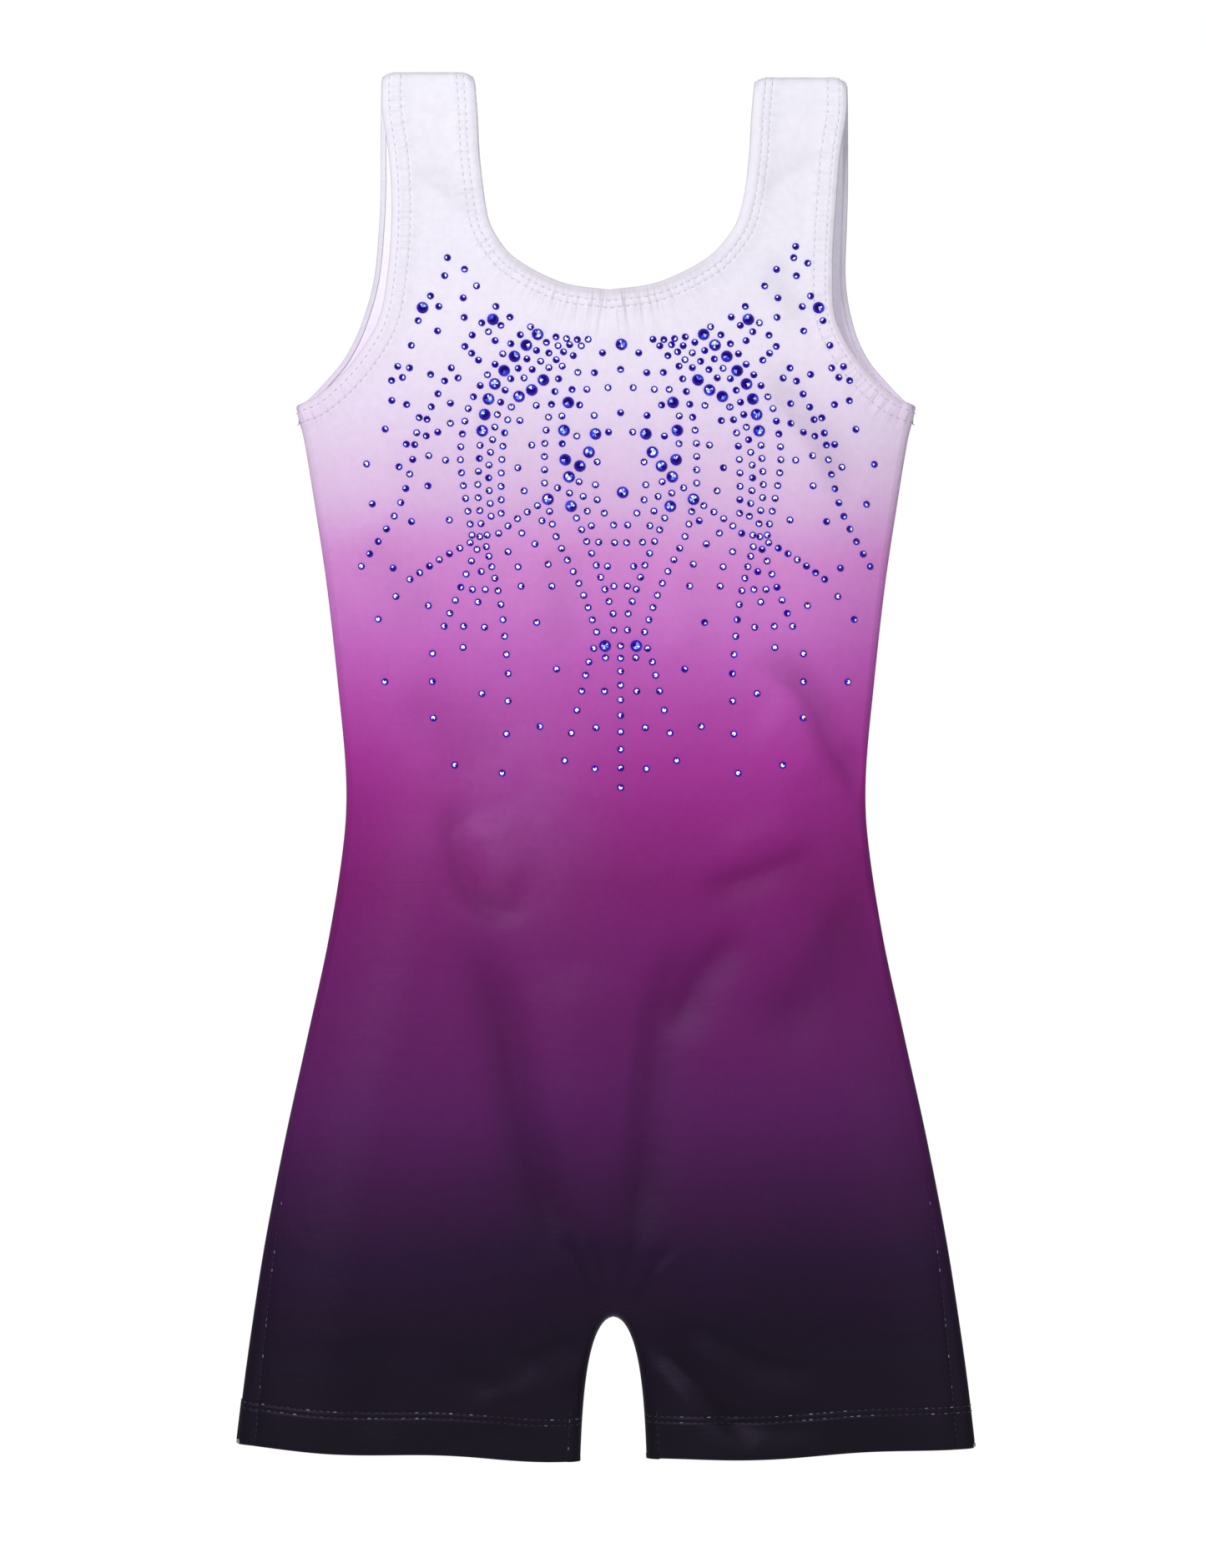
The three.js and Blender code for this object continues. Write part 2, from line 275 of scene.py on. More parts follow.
def thicken(piece: bpy.types.Object, millimetres: float, share: Array) -> None:
    """Gives a sheet its thickness, inwards from the outer surface.

    Args:
        piece: The sheet.
        millimetres: Its thickness.
        share: (n,) share of the thickness at each vertex, so that tight folds have room for it.
    """
    group = piece.vertex_groups.new(name="thickness")
    levels = np.clip(np.round(share, 1), 0.1, 1)
    for level in np.unique(levels):
        group.add(np.flatnonzero(levels == level).tolist(), float(level), "REPLACE")
    solid = piece.modifiers.new("thickness", "SOLIDIFY")
    solid.thickness = millimetres * 0.001
    solid.offset = -1
    solid.use_even_offset = False
    solid.vertex_group = group.name


def sharpen_borders(mesh: bpy.types.Mesh) -> None:
    """Keeps the shading of a sheet clear of its cut edges: edges with one face are sharp."""
    edges = np.empty(len(mesh.loops), np.int32)
    mesh.loops.foreach_get("edge_index", edges)
    alone = np.bincount(edges, minlength=len(mesh.edges)) == 1
    mesh.attributes.new("sharp_edge", "BOOLEAN", "EDGE").data.foreach_set("value", alone)


def strip_shell(outer: Array, inner: Array, ring: bool) -> tuple[Array, list[Array]]:
    """A closed strip: quads across its outer face and back across its inner face, and two end caps.

    Args:
        outer: (n, m, 3) points of the outer face.
        inner: (n, m, 3) points of the inner face.
        ring: Whether its two ends meet, so that it needs no caps.

    Returns:
        (2nm, 3) vertices, and its faces.
    """
    around = np.concatenate([outer, inner[:, ::-1]], axis=1)
    rows, columns = around.shape[:2]
    ends = np.arange(rows if ring else rows - 1), np.arange(columns)
    i, j = (part.ravel() for part in np.meshgrid(*ends, indexing="ij"))
    k, m = (i + 1) % rows, (j + 1) % columns
    faces = [np.column_stack([i * columns + j, i * columns + m, k * columns + m, k * columns + j])]
    if not ring:
        cap = np.arange(columns)[None]
        faces += [cap[:, ::-1], (rows - 1) * columns + cap]
    return around.reshape(-1, 3), faces


def make_closed(name: str, vertices: Array, faces: list[Array], material: bpy.types.Material,
                points: dict[str, Array] | None = None) -> bpy.types.Object:
    """Makes a closed mesh object, as make_object does, and turns its faces outwards by its volume."""
    piece = make_object(name, vertices, faces, material, points=points)
    mesh = piece.data
    corners = np.empty(len(mesh.vertices) * 3)
    mesh.vertices.foreach_get("co", corners)
    mesh.calc_loop_triangles()
    index = np.empty(len(mesh.loop_triangles) * 3, np.int32)
    mesh.loop_triangles.foreach_get("vertices", index)
    a, b, c = (corners.reshape(-1, 3)[index.reshape(-1, 3)[:, k]] for k in range(3))
    if np.einsum("ij,ij->", a, np.cross(b, c)) < 0:
        mesh.flip_normals()
    return piece


# ---- The body's form ----


@dataclass(frozen=True)
class Crease:
    """A soft fold or hollow in the hanging cloth.

    Attributes:
        path: Points of its line, x and z.
        width: Distance from its line at which it has mostly faded.
        height: How far the cloth comes out along it; negative is a hollow.
        lopsided: From -1 to 1, how much steeper it is on one side.
    """

    path: Pairs
    width: float
    height: float
    lopsided: float = 0.0

    def rise(self, points: Array) -> Array:
        """A bell across the line, narrower on one side, that fades towards both ends."""
        line = spline(self.path, 4.0)
        distance, run, side = nearest(points, line)
        total = run_of(line)[-1]
        width = self.width * (1 + self.lopsided * side)
        ends = smoothstep(run, 0, total * 0.3) * (1 - smoothstep(run, total * 0.7, total))
        return self.height * ends * np.exp(-((distance / width) ** 2))


CREASES = (
    Crease(((-62, -286), (-60, -306), (-54, -326), (-42, -334), (-26, -331)), 7, -2.6, 0.3),
    Crease(((-50, -294), (-42, -314), (-30, -324)), 14, 2.6),
    Crease(((-62, -336), (-50, -356), (-41, -382), (-35, -414), (-26, -450), (-8, -486)), 10, -3.6, 0.2),
    Crease(((40, -338), (25, -360), (18, -382), (15, -412), (12, -446), (7, -484)), 9, -3.2, 0.3),
    Crease(((-8, -350), (-9, -390), (-5, -430)), 17, 2.0),
    Crease(((58, -340), (42, -353), (33, -368), (28, -388)), 8, -2.2, 0.3),
    Crease(((56, -235), (72, -240), (83, -252), (89, -267), (97, -279), (104, -294)), 6.5, -3.0, 0.3),
    Crease(((60, -254), (75, -266), (86, -286)), 12, 2.0),
    Crease(((34, -327), (54, -321), (72, -314), (90, -309)), 6, -2.2, -0.2),
    Crease(((44, -312), (64, -305), (84, -297)), 9, 1.4),
    Crease(((102, -318), (94, -342), (80, -366), (56, -388)), 13, -2.8, 0.2),
    Crease(((62, -114), (73, -132), (87, -150), (97, -176)), 7, -1.8, 0.3),
    Crease(((26, -184), (29, -206), (31, -240)), 8, 1.2),
    Crease(((-14, -186), (-16, -208), (-14, -236)), 8, -0.9),
    Crease(((-88, -250), (-60, -262), (-40, -282)), 12, -1.2),
    Crease(((-96, -180), (-84, -204), (-66, -226)), 12, -1.0),
    Crease(((14, -496), (26, -512), (44, -530), (62, -548)), 7, -2.6, 0.3),
    Crease(((12, -490), (34, -497), (60, -511), (90, -520)), 8, -2.2, -0.2),
    Crease(((28, -530), (56, -538), (92, -536)), 7, -1.4),
    Crease(((-8, -498), (-22, -508), (-44, -513)), 7, -2.0, 0.3),
    Crease(((-12, -514), (-30, -526), (-56, -532)), 7, 1.6),
    Crease(((-66, -508), (-46, -526), (-34, -550)), 8, -1.6),
    Crease(((-100, -500), (-92, -524), (-96, -548)), 12, -1.2),
    Crease(((-1, -492), (-8, -478), (-17, -462)), 2.6, -1.3),
    Crease(((1.5, -491), (-2, -476), (-5, -458)), 2.2, -1.2),
    Crease(((4.5, -491), (8, -476), (11, -460)), 2.2, -1.2),
    Crease(((7, -492), (16, -479), (28, -464)), 2.6, -1.3),
    Crease(((-78, -36), (-64, -46), (-49, -62)), 4.5, -1.0, 0.3),
    Crease(((60, -50), (74, -40), (90, -31)), 4.5, -0.9, 0.3),
    Crease(((66, -70), (72, -88), (86, -104)), 6, -1.0),
)


@dataclass(frozen=True)
class Form:
    """Shape of the hanging garment: two faces that swell from its side folds and its split.

    Attributes:
        half_width: Half width at each height, side fold to side fold.
        half_depth: Half thickness of the middle at each height.
        seam_inset: How far in from the side fold the side seam runs on the front.
        edge_depth: Half thickness where the rounded side fold ends.
        fold_radius: Width of the rounded side fold.
        split_x: Middle of the split between the legs.
        split_z: Top of the split.
        split_seam: How far from the split the inner leg seam runs on the front.
        hem_inner: Height of the lower edge at the inside of a leg.
        hem_outer: Height of the lower edge at the outside of a leg.
        underarm: Height of the armhole's lowest point.
        foot: Height at which a side seam meets the hem, before it is trimmed to it.
    """

    half_width: Pairs = (
        (-560, 149), (-524, 144.8), (-494, 140.6), (-464, 135.8), (-424, 128), (-384, 119.2), (-344, 110.6),
        (-304, 104.6), (-280, 104), (-244, 107.2), (-204, 111.7), (-170, 116.8), (-146, 120.8), (-134, 123.5),
        (10, 123.5),
    )
    half_depth: Pairs = ((-560, 12), (-400, 15.5), (-280, 14), (-140, 10), (-60, 5.5), (0, 4.4), (10, 4.4))
    seam_inset: Pairs = ((-560, 8.5), (-520, 7), (-440, 4), (-280, 3), (-134, 3.5), (10, 3.5))
    edge_depth: float = 3.0
    fold_radius: float = 3.2
    split_x: float = 3.0
    split_z: float = -496.5
    split_seam: float = 5.0
    hem_inner: float = -553.5
    hem_outer: float = -548.0
    underarm: float = -132.8
    foot: float = -549.0

    def lean(self, z: Array) -> Array:
        """The straps lean a little to +X, as the garment hangs."""
        return 3.4 * smoothstep(z, -120, -40)

    def fold_x(self, side: Side, z: Array) -> Array:
        """x of a side fold at height z."""
        return self.lean(z) + side.value * along(self.half_width, z)

    def split_half(self, drop: Array) -> Array:
        """Half width of the split at a drop below its top: 14 times the root of (1 - e^(-drop / 26))."""
        return 14 * np.sqrt(1 - np.exp(-np.maximum(drop, 0) / 26))

    def split_line(self, grow: float = 0.0, low: float = -580.0) -> Array:
        """The split's edge from low on the left over its top to low on the right, grown by "grow"."""
        u = np.linspace(-1, 1, 161)
        drop = (self.split_z - low) * u * u
        line = np.column_stack([self.split_x + np.sign(u) * self.split_half(drop), self.split_z - drop])
        return resample(line, 1.0) + grow * sideways(resample(line, 1.0))

    def hem_z(self, x: Array) -> Array:
        """Height of the lower edge: it rises outwards and waves a little."""
        x = np.asarray(x, float)
        t = np.clip((np.abs(x - self.split_x) - 13) / 132, 0, None)
        return self.hem_inner + (self.hem_outer - self.hem_inner) * t + 0.7 * np.sin(x / 13.5)

    def strap_top(self, x: Array) -> Array:
        """Height of the strap's fold at x: level, a little lower at the strap's two edges."""
        across = np.abs(np.asarray(x, float) - self.lean(0))
        level = np.where(np.asarray(x) > 0, -2.0, 0.0) + 0.4
        ease = [1 - np.clip(d / 6, 0, 1) for d in (across - 55.6, 93.0 - across)]
        return level - 2.2 * (ease[0] ** 2 + ease[1] ** 2)

    def depth(self, x: Array, z: Array) -> Array:
        """Half thickness at x, z: a rounded fold along the sides and the split, then a slow swelling."""
        x, z = np.asarray(x, float), np.asarray(z, float)
        side = along(self.half_width, z) - np.abs(x - self.lean(z))
        split = np.full(x.shape, 99.0)
        low = z < self.split_z + 50
        if low.any():
            split[low] = nearest(np.column_stack([x[low], z[low]]), self.split_line())[0]
        full = along(self.half_depth, z) - self.edge_depth
        rise = self.edge_depth * rounded(np.minimum(side, split), self.fold_radius)
        body = rise + full * swelling(side, 40) * swelling(split, 36)
        return body * np.where(z > -30, rounded(self.strap_top(x) - z, 4.4), 1)

    def folds(self, points: Array, face: Face) -> Array:
        """How far the cloth comes out in its folds; the back has its own, softer and mirrored."""
        if face is Face.FRONT:
            return sum(crease.rise(points) for crease in CREASES)
        x, z = points.T
        wave = 1.1 * np.sin(x / 31 + z / 47) * np.sin(z / 39 - x / 88)
        return wave + 0.55 * sum(crease.rise(points * (-1, 1)) for crease in CREASES[2:11])

    def surface(self, x: Array, z: Array, face: Face, sink: Array | float = 0.0) -> Array:
        """Points of the outer surface, or "sink" inside it.

        Args:
            x: Distances from the middle.
            z: Heights.
            face: Front or back.
            sink: How far inside the outer surface.

        Returns:
            (n, 3) points.
        """
        x, z = np.asarray(x, float), np.asarray(z, float)
        deep = self.depth(x, z)
        points = np.column_stack([x, z])
        relief = self.folds(points, face)
        if face is Face.FRONT:
            seam = nearest(points, self.side_seam(Side.LEFT))[0]
            seam = np.minimum(seam, nearest(points, self.side_seam(Side.RIGHT))[0])
            relief = relief - 0.4 * np.exp(-((seam / 1.3) ** 2)) * (1 - smoothstep(z, -500, -440))
        deep = deep + relief * smoothstep(deep, 1.0, 7.0)
        return np.column_stack([x, face.value * np.maximum(deep - sink, 0.12 * deep), z])

    def side_seam(self, side: Side) -> Array:
        """The side seam on the front, from the underarm to the hem."""
        z = np.linspace(self.underarm + 1, -575, 220)
        return np.column_stack([self.fold_x(side, z) - side.value * along(self.seam_inset, z), z])


FORM = Form()


@dataclass(frozen=True)
class Openings:
    """Half outlines of the neck and the armholes, from the strap's top down.

    Attributes:
        neck: The neck's edge: distance from the middle, height.
        arm_front: The armhole's edge on the front.
        arm_back: The armhole's edge on the back.
        back_neck_drop: How much lower the neck is in the middle of the back.
    """

    neck: Pairs = ((55.9, 0.6), (55.4, -6), (54.6, -16), (53.6, -34), (50.8, -54), (47, -64), (37.8, -74.5),
                   (19, -84), (0, -87))
    arm_front: Pairs = ((92.4, 0.6), (92.8, -6), (92.4, -17), (89.8, -35), (88.4, -60), (88.8, -82),
                        (90.8, -98), (97.3, -111), (106.5, -122), (115.5, -129.5), (120, -131.6))
    arm_back: Pairs = ((92.6, 0.6), (93.3, -6), (93.5, -28), (93.6, -60), (94.6, -83), (98.9, -101),
                       (104.8, -113.5), (112, -122.5), (119.5, -130.5), (123.5, -132.8))
    back_neck_drop: float = 6.0

    def placed(self, pairs: Array, side: Side) -> Array:
        """A half outline on one side: it leans as the body does and ends at the strap's top."""
        line = spline(pairs, 0.8)
        x = FORM.lean(line[:, 1]) + side.value * line[:, 0]
        drop = 2.0 * smoothstep(line[:, 1], -40, 0) if side is Side.RIGHT else 0
        z = line[:, 1] - drop
        return np.column_stack([x, np.minimum(z, FORM.strap_top(x))])

    def neck_half(self, side: Side, face: Face) -> Array:
        """Neck edge from the strap's top to the middle."""
        line = self.placed(self.neck, side)
        if face is Face.BACK:
            line[:, 1] -= self.back_neck_drop * smoothstep(-line[:, 1], 30, 87)
        return line

    def arm_half(self, side: Side, face: Face) -> Array:
        """Armhole edge from the strap's top to the underarm."""
        return self.placed(self.arm_front if face is Face.FRONT else self.arm_back, side)


OPENINGS = Openings()


# ---- Panels ----


@dataclass
class Stretch:
    """One stretch of a panel's outline, drawn clockwise as seen from the front."""

    kind: EdgeKind
    line: Array


@dataclass(frozen=True)
class Panel:
    """A cut panel of knit: a flat outline filled with small triangles, then laid on the body's form.

    Attributes:
        face: Front or back.
        spacing: Distance between the points inside.
        thickness: Thickness of the knit.
        turn_radius: Radius of the turned-over edges.
        turn_depth: How far a turned edge goes on inside.
    """

    face: Face
    spacing: float = 2.05
    thickness: float = 0.7
    turn_radius: float = 0.85
    turn_depth: float = 1.1

    def seam_x(self, side: Side, z: Array) -> Array:
        """x of the side seam; on the back it lies beyond the fold, as far as it comes round to the front."""
        sign = -1 if self.face is Face.FRONT else 1
        return FORM.fold_x(side, z) + sign * side.value * along(FORM.seam_inset, z)

    def folded(self, flat: Array) -> tuple[Array, Array]:
        """Mirrors what lies beyond a side fold back over it; also says which points those were."""
        lean = FORM.lean(flat[:, 1])
        beyond = np.abs(flat[:, 0] - lean) - along(FORM.half_width, flat[:, 1])
        over = (beyond > 0) & (flat[:, 1] < -120)
        x = np.where(over, flat[:, 0] - np.sign(flat[:, 0]) * 2 * beyond, flat[:, 0])
        return np.column_stack([x, flat[:, 1]]), over

    def half(self, side: Side) -> list[Stretch]:
        """One side's outline from the neck's middle out, down, and up to the top of the split."""
        neck = OPENINGS.neck_half(side, self.face)[::-1]
        arm = OPENINGS.arm_half(side, self.face)
        top = np.linspace(neck[-1, 0], arm[0, 0], 24)
        if self.face is Face.BACK:
            arm = np.vstack([arm, [self.seam_x(side, -131.6), -131.6]])
        z = np.linspace(arm[-1, 1], FORM.foot, 240)
        seam = np.column_stack([self.seam_x(side, z), z])
        grow = FORM.split_seam if self.face is Face.FRONT else 0.0
        split = FORM.split_line(grow)
        split = split[(split[:, 0] - FORM.split_x) * side.value > 0.3]
        split = np.vstack([split[np.argsort(split[:, 1])], [FORM.split_x, FORM.split_z + grow]])
        split = split[split[:, 1] > FORM.hem_z(split[:1, 0]) + 0.3]
        x = np.linspace(seam[-1, 0], split[0, 0], 90)
        turned = self.folded(np.column_stack([x, np.full(90, FORM.foot - 1)]))[0][:, 0]
        hem = np.column_stack([x, FORM.hem_z(turned)])
        seam = np.vstack([seam[seam[:, 1] > hem[0, 1] + 0.3], hem[:1]])
        last = EdgeKind.SEAM if self.face is Face.FRONT else EdgeKind.SPLIT
        return [
            Stretch(EdgeKind.TURNED, neck),
            Stretch(EdgeKind.SHOULDER, np.column_stack([top, FORM.strap_top(top)])),
            Stretch(EdgeKind.TURNED, arm),
            Stretch(EdgeKind.SEAM, seam),
            Stretch(EdgeKind.HEM, hem),
            Stretch(last, np.vstack([hem[-1:], split])),
        ]

    def outline(self) -> list[Stretch]:
        """The whole outline, clockwise, evenly spaced, its turned edges drawn in by their radius."""
        left = [Stretch(s.kind, s.line[::-1]) for s in self.half(Side.LEFT)[::-1]]
        made = []
        for part in [*self.half(Side.RIGHT), *left]:
            line = resample(part.line, self.spacing * 0.85)
            if part.kind in (EdgeKind.TURNED, EdgeKind.HEM):
                line = line - self.turn_radius * sideways(line)
            made.append(Stretch(part.kind, line))
        return made

    def close_rows(self) -> list[Array]:
        """Extra rows of points where the cloth bends sharply: strap tops, side folds and split."""
        rows = []
        for side in Side:
            x = FORM.lean(0) + side.value * np.linspace(57, 91.8, 18)
            rows += [np.column_stack([x, FORM.strap_top(x) - d]) for d in (0.25, 0.9, 2.0, 3.6)]
            z = np.linspace(FORM.underarm - 1.2, -546, 210)
            if self.face is Face.BACK:
                gaps = (-2.0, -0.9, -0.25, 0.25, 0.9, 2.0)
                rows += [np.column_stack([FORM.fold_x(side, z) + d, z]) for d in gaps]
        if self.face is Face.BACK:
            rows += [FORM.split_line(d, -548) for d in (0.3, 1.0, 2.1)]
        return rows

    def filling(self, loop: Array) -> Array:
        """Points inside the outline: a grid of equal triangles, and the extra rows."""
        low, high = loop.min(0), loop.max(0)
        rise = self.spacing * math.sqrt(0.75)
        i, j = np.meshgrid(np.arange((high[0] - low[0]) / self.spacing), np.arange((high[1] - low[1]) / rise))
        x = low[0] + (i + 0.5 * (j % 2)) * self.spacing
        grid = np.column_stack([x.ravel(), (low[1] + j * rise).ravel()])
        grid = grid[inside(grid, loop)]
        rows = [row[inside(row, loop)] for row in self.close_rows()]
        rows = [row for row in rows if len(row) > 1]
        for row in rows:
            grid = grid[nearest(grid, row)[0] > self.spacing * 0.45]
        points = np.vstack([grid, *rows])
        return points[nearest(points, np.vstack([loop, loop[:1]]))[0] > self.spacing * 0.3]

    def build(self, name: str, material: bpy.types.Material) -> bpy.types.Object:
        """Fills the outline, adds the turned edges, and lays everything on the form.

        A turned edge follows a half circle: out by the radius times the sine of the turn and in by the
        radius times one less its cosine; then it goes back inside. Round the split the back panel goes
        on to the front as rows at growing distances from the split.

        Args:
            name: The piece's name.
            material: Its finish.

        Returns:
            The piece.
        """
        outline = self.outline()
        loop = np.vstack([part.line for part in outline])
        points = np.vstack([loop, self.filling(loop)])
        count = len(loop)
        edges = [(i, (i + 1) % count) for i in range(count)]
        places = [Vector(p) for p in points.tolist()]
        found, _, faces, origin, _, _ = delaunay_2d_cdt(places, edges, [], 1, 1e-6)
        where = {k: new for new, old in enumerate(origin) for k in old}
        flat = np.array([tuple(p) for p in found])
        triangles = np.array(faces)[:, ::-1] if self.face is Face.BACK else np.array(faces)
        a, b, c = (flat[triangles[:, k]] for k in range(3))
        upside = ((b - a)[:, 0] * (c - a)[:, 1] - (b - a)[:, 1] * (c - a)[:, 0]).mean() < 0
        if upside == (self.face is Face.FRONT):
            triangles = triangles[:, ::-1]
        sheets, sinks, fronts, quads = [flat], [np.zeros(len(flat))], [np.zeros(len(flat), bool)], []
        at, first = len(flat), 0
        for part in outline:
            index = np.array([where[first + k] for k in range(len(part.line))])
            first += len(part.line)
            if part.kind in (EdgeKind.SEAM, EdgeKind.SHOULDER):
                continue
            out = sideways(part.line)
            if part.kind is EdgeKind.SPLIT:
                out[part.line[:, 1].argmax()] = (0, -1)
                rows = [(-d, 0.0) for d in (0.3, 1.0, 2.1, 3.5, FORM.split_seam)]
            else:
                turn = np.radians([36, 72, 108, 144, 180])
                rows = [(self.turn_radius * math.sin(t), self.turn_radius * (1 - math.cos(t))) for t in turn]
                rows.append((-self.turn_depth, 2 * self.turn_radius))
            near = index
            for move, sink in rows:
                far = at + np.arange(len(index))
                sheets.append(part.line + move * out)
                sinks.append(np.full(len(index), sink))
                fronts.append(np.full(len(index), part.kind is EdgeKind.SPLIT))
                quads.append(np.column_stack([near[:-1], near[1:], far[1:], far[:-1]]))
                near, at = far, at + len(index)
        flat, sink, front = np.vstack(sheets), np.concatenate(sinks), np.concatenate(fronts)
        quads = np.vstack(quads)
        quads = quads[:, ::-1] if self.face is Face.BACK else quads
        body, over = self.folded(flat) if self.face is Face.BACK else (flat, front)
        other = over | front
        vertices = FORM.surface(*body.T, self.face, sink)
        if other.any():
            vertices[other] = FORM.surface(*body[other].T, Face.FRONT, sink[other])
        piece = make_object(name, vertices, [triangles, quads], material, points=self.marks(body))
        sharpen_borders(piece.data)
        thicken(piece, self.thickness, FORM.depth(*body.T) / 2.5)
        return piece

    def marks(self, body: Array) -> dict[str, Array]:
        """Values that the finish reads, in millimetres: distance from edges, hem and seams, and hollows."""
        edge, run, arm = np.full(len(body), 99.0), np.zeros(len(body)), np.zeros(len(body))
        for side in Side:
            lines = OPENINGS.neck_half(side, self.face), OPENINGS.arm_half(side, self.face)
            for kind, line in enumerate(lines):
                far, position, _ = nearest(body, line)
                closer = far < edge
                edge[closer], run[closer], arm[closer] = far[closer], position[closer], kind
        seams = [FORM.side_seam(Side.LEFT), FORM.side_seam(Side.RIGHT)]
        seam = np.min([nearest(body, line)[0] for line in seams], axis=0)
        seam += 2.0 * smoothstep(body[:, 1], -470, -380)
        x, z = body.T
        gather = np.exp(-(((x - 6) / 26) ** 2)) * smoothstep(z, -116, -96) * (1 - smoothstep(z, -90, -82))
        if self.face is Face.BACK:
            seam[:] = 99.0
            gather *= 0.5
        # Depth of the hollows in the folds; the finish turns it into painted shade.
        hollow = np.maximum(-FORM.folds(body, self.face), 0) * smoothstep(FORM.depth(x, z), 2, 6)
        return {"edge": edge, "run": run, "arm": arm, "gather": gather, "seam": seam, "hollow": hollow,
                "hem": z - FORM.hem_z(x)}


# ---- Bands: casings, elastics, hems, seam allowances ----


@dataclass(frozen=True)
class Band:
    """A strip that follows the inside of the body's form.

    Attributes:
        path: (n, 2) points of its edge.
        across: (n, 2) unit vectors from the edge into the cloth.
        back: (n,) which points lie on the back.
        closed: Whether it is a ring.
    """

    path: Array
    across: Array
    back: Array
    closed: bool = True

    def sheet(self, distances: Array, sink: float) -> tuple[Array, Array]:
        """The strip's points and outward normals.

        Args:
            distances: Distances from its edge.
            sink: How far inside the outer surface.

        Returns:
            (n, m, 3) points and (n, m, 3) normals.
        """
        spots = self.path[:, None] + self.across[:, None] * np.asarray(distances, float)[None, :, None]
        x, z = spots[..., 0], spots[..., 1].copy()
        level = smoothstep(self.path[:, 1:], -22, -4)
        z += (FORM.strap_top(x) - FORM.strap_top(self.path[:, :1])) * level
        back = np.broadcast_to(self.back[:, None], x.shape).ravel()
        points = FORM.surface(x.ravel(), z.ravel(), Face.FRONT)
        points[back] = FORM.surface(x.ravel()[back], z.ravel()[back], Face.BACK)
        points = points.reshape(*x.shape, 3)
        if self.closed:
            step = np.roll(points, -1, axis=0) - np.roll(points, 1, axis=0)
        else:
            step = np.gradient(points, axis=0)
        normal = unit(np.cross(step, np.gradient(points, axis=1)))
        outward = np.where(self.back, 1.0, -1.0)[:, None] * normal[..., 1]
        normal *= np.sign(np.sum(outward))
        return points - normal * sink, normal

    def solid(self, name: str, near: float, far: float, sink: float, thickness: float, columns: int,
              material: bpy.types.Material) -> bpy.types.Object:
        """A closed strip: its outer face from near to far, then its inner face back again.

        Args:
            name: The piece's name.
            near: Distance of its first border from the edge.
            far: Distance of its second border.
            sink: How far inside the outer surface it lies.
            thickness: Its thickness.
            columns: Points across.
            material: Its finish.

        Returns:
            The piece.
        """
        points, normal = self.sheet(np.linspace(near, far, columns), sink)
        return make_closed(name, *strip_shell(points, points - normal * thickness, self.closed), material)


def ring(front: Array, back: Array, face_right: bool, ends: tuple[Array, Array]) -> Band:
    """A closed band along a front edge line and back along a back edge line.

    Args:
        front: Edge on the front, from one end to the other.
        back: Edge on the back, from the second end to the first.
        face_right: Whether the cloth lies to the right of the front line.
        ends: Direction into the cloth at the first and at the second end.

    Returns:
        The band.
    """
    sign = -1 if face_right else 1
    across = []
    for line, (start, end), turn in ((front, ends, sign), (back, ends[::-1], -sign)):
        run = run_of(line)[:, None]
        way = turn * sideways(line)
        way = way + (start - way) * (1 - smoothstep(run, 2, 14))
        way = way + (end - way) * smoothstep(run, run[-1] - 14, run[-1] - 2)
        across.append(unit(way))
    path = np.vstack([front[:-1], back[:-1]])
    flags = np.r_[np.zeros(len(front) - 1, bool), np.ones(len(back) - 1, bool)]
    return Band(path, np.vstack([across[0][:-1], across[1][:-1]]), flags)


def neck_ring() -> Band:
    """The neck's edge, all round."""
    left, right = (OPENINGS.neck_half(side, Face.FRONT) for side in Side)
    back_left, back_right = (OPENINGS.neck_half(side, Face.BACK) for side in Side)
    front = resample(np.vstack([left, right[::-1][1:]]), 1.1)
    back = resample(np.vstack([back_right, back_left[::-1][1:]]), 1.1)
    return ring(front, back, True, (np.array([-1.0, 0.0]), np.array([1.0, 0.0])))


def arm_ring(side: Side) -> Band:
    """One armhole's edge, all round; at the underarm the cloth lies below it."""
    low = np.array([[FORM.fold_x(side, FORM.underarm), FORM.underarm]])
    front = np.vstack([OPENINGS.arm_half(side, Face.FRONT), low])
    back = OPENINGS.arm_half(side, Face.BACK)[::-1]
    back[0] = low
    ends = (np.array([-side.value, 0.0]), np.array([0.0, -1.0]))
    return ring(resample(front, 1.1), resample(back, 1.1), side is Side.RIGHT, ends)


def leg_ring(side: Side, count: int = 150) -> Band:
    """One leg's lower edge: the angle goes round from the split over the front and back again."""
    angle = np.arange(count) / count * 2 * np.pi
    inner = FORM.split_x + side.value * FORM.split_half(FORM.split_z - FORM.hem_inner)
    outer = FORM.fold_x(side, FORM.foot)
    x = inner + (outer - inner) * (1 - np.cos(angle)) / 2
    lower = inner + side.value * 0.4
    slant = np.interp((x - lower) / (outer - lower), [0, 1], [0.02, -0.12]) * side.value
    way = np.column_stack([slant, np.ones(count)])
    return Band(np.column_stack([x, FORM.hem_z(x)]), way, angle > np.pi)


# ---- Stitches ----


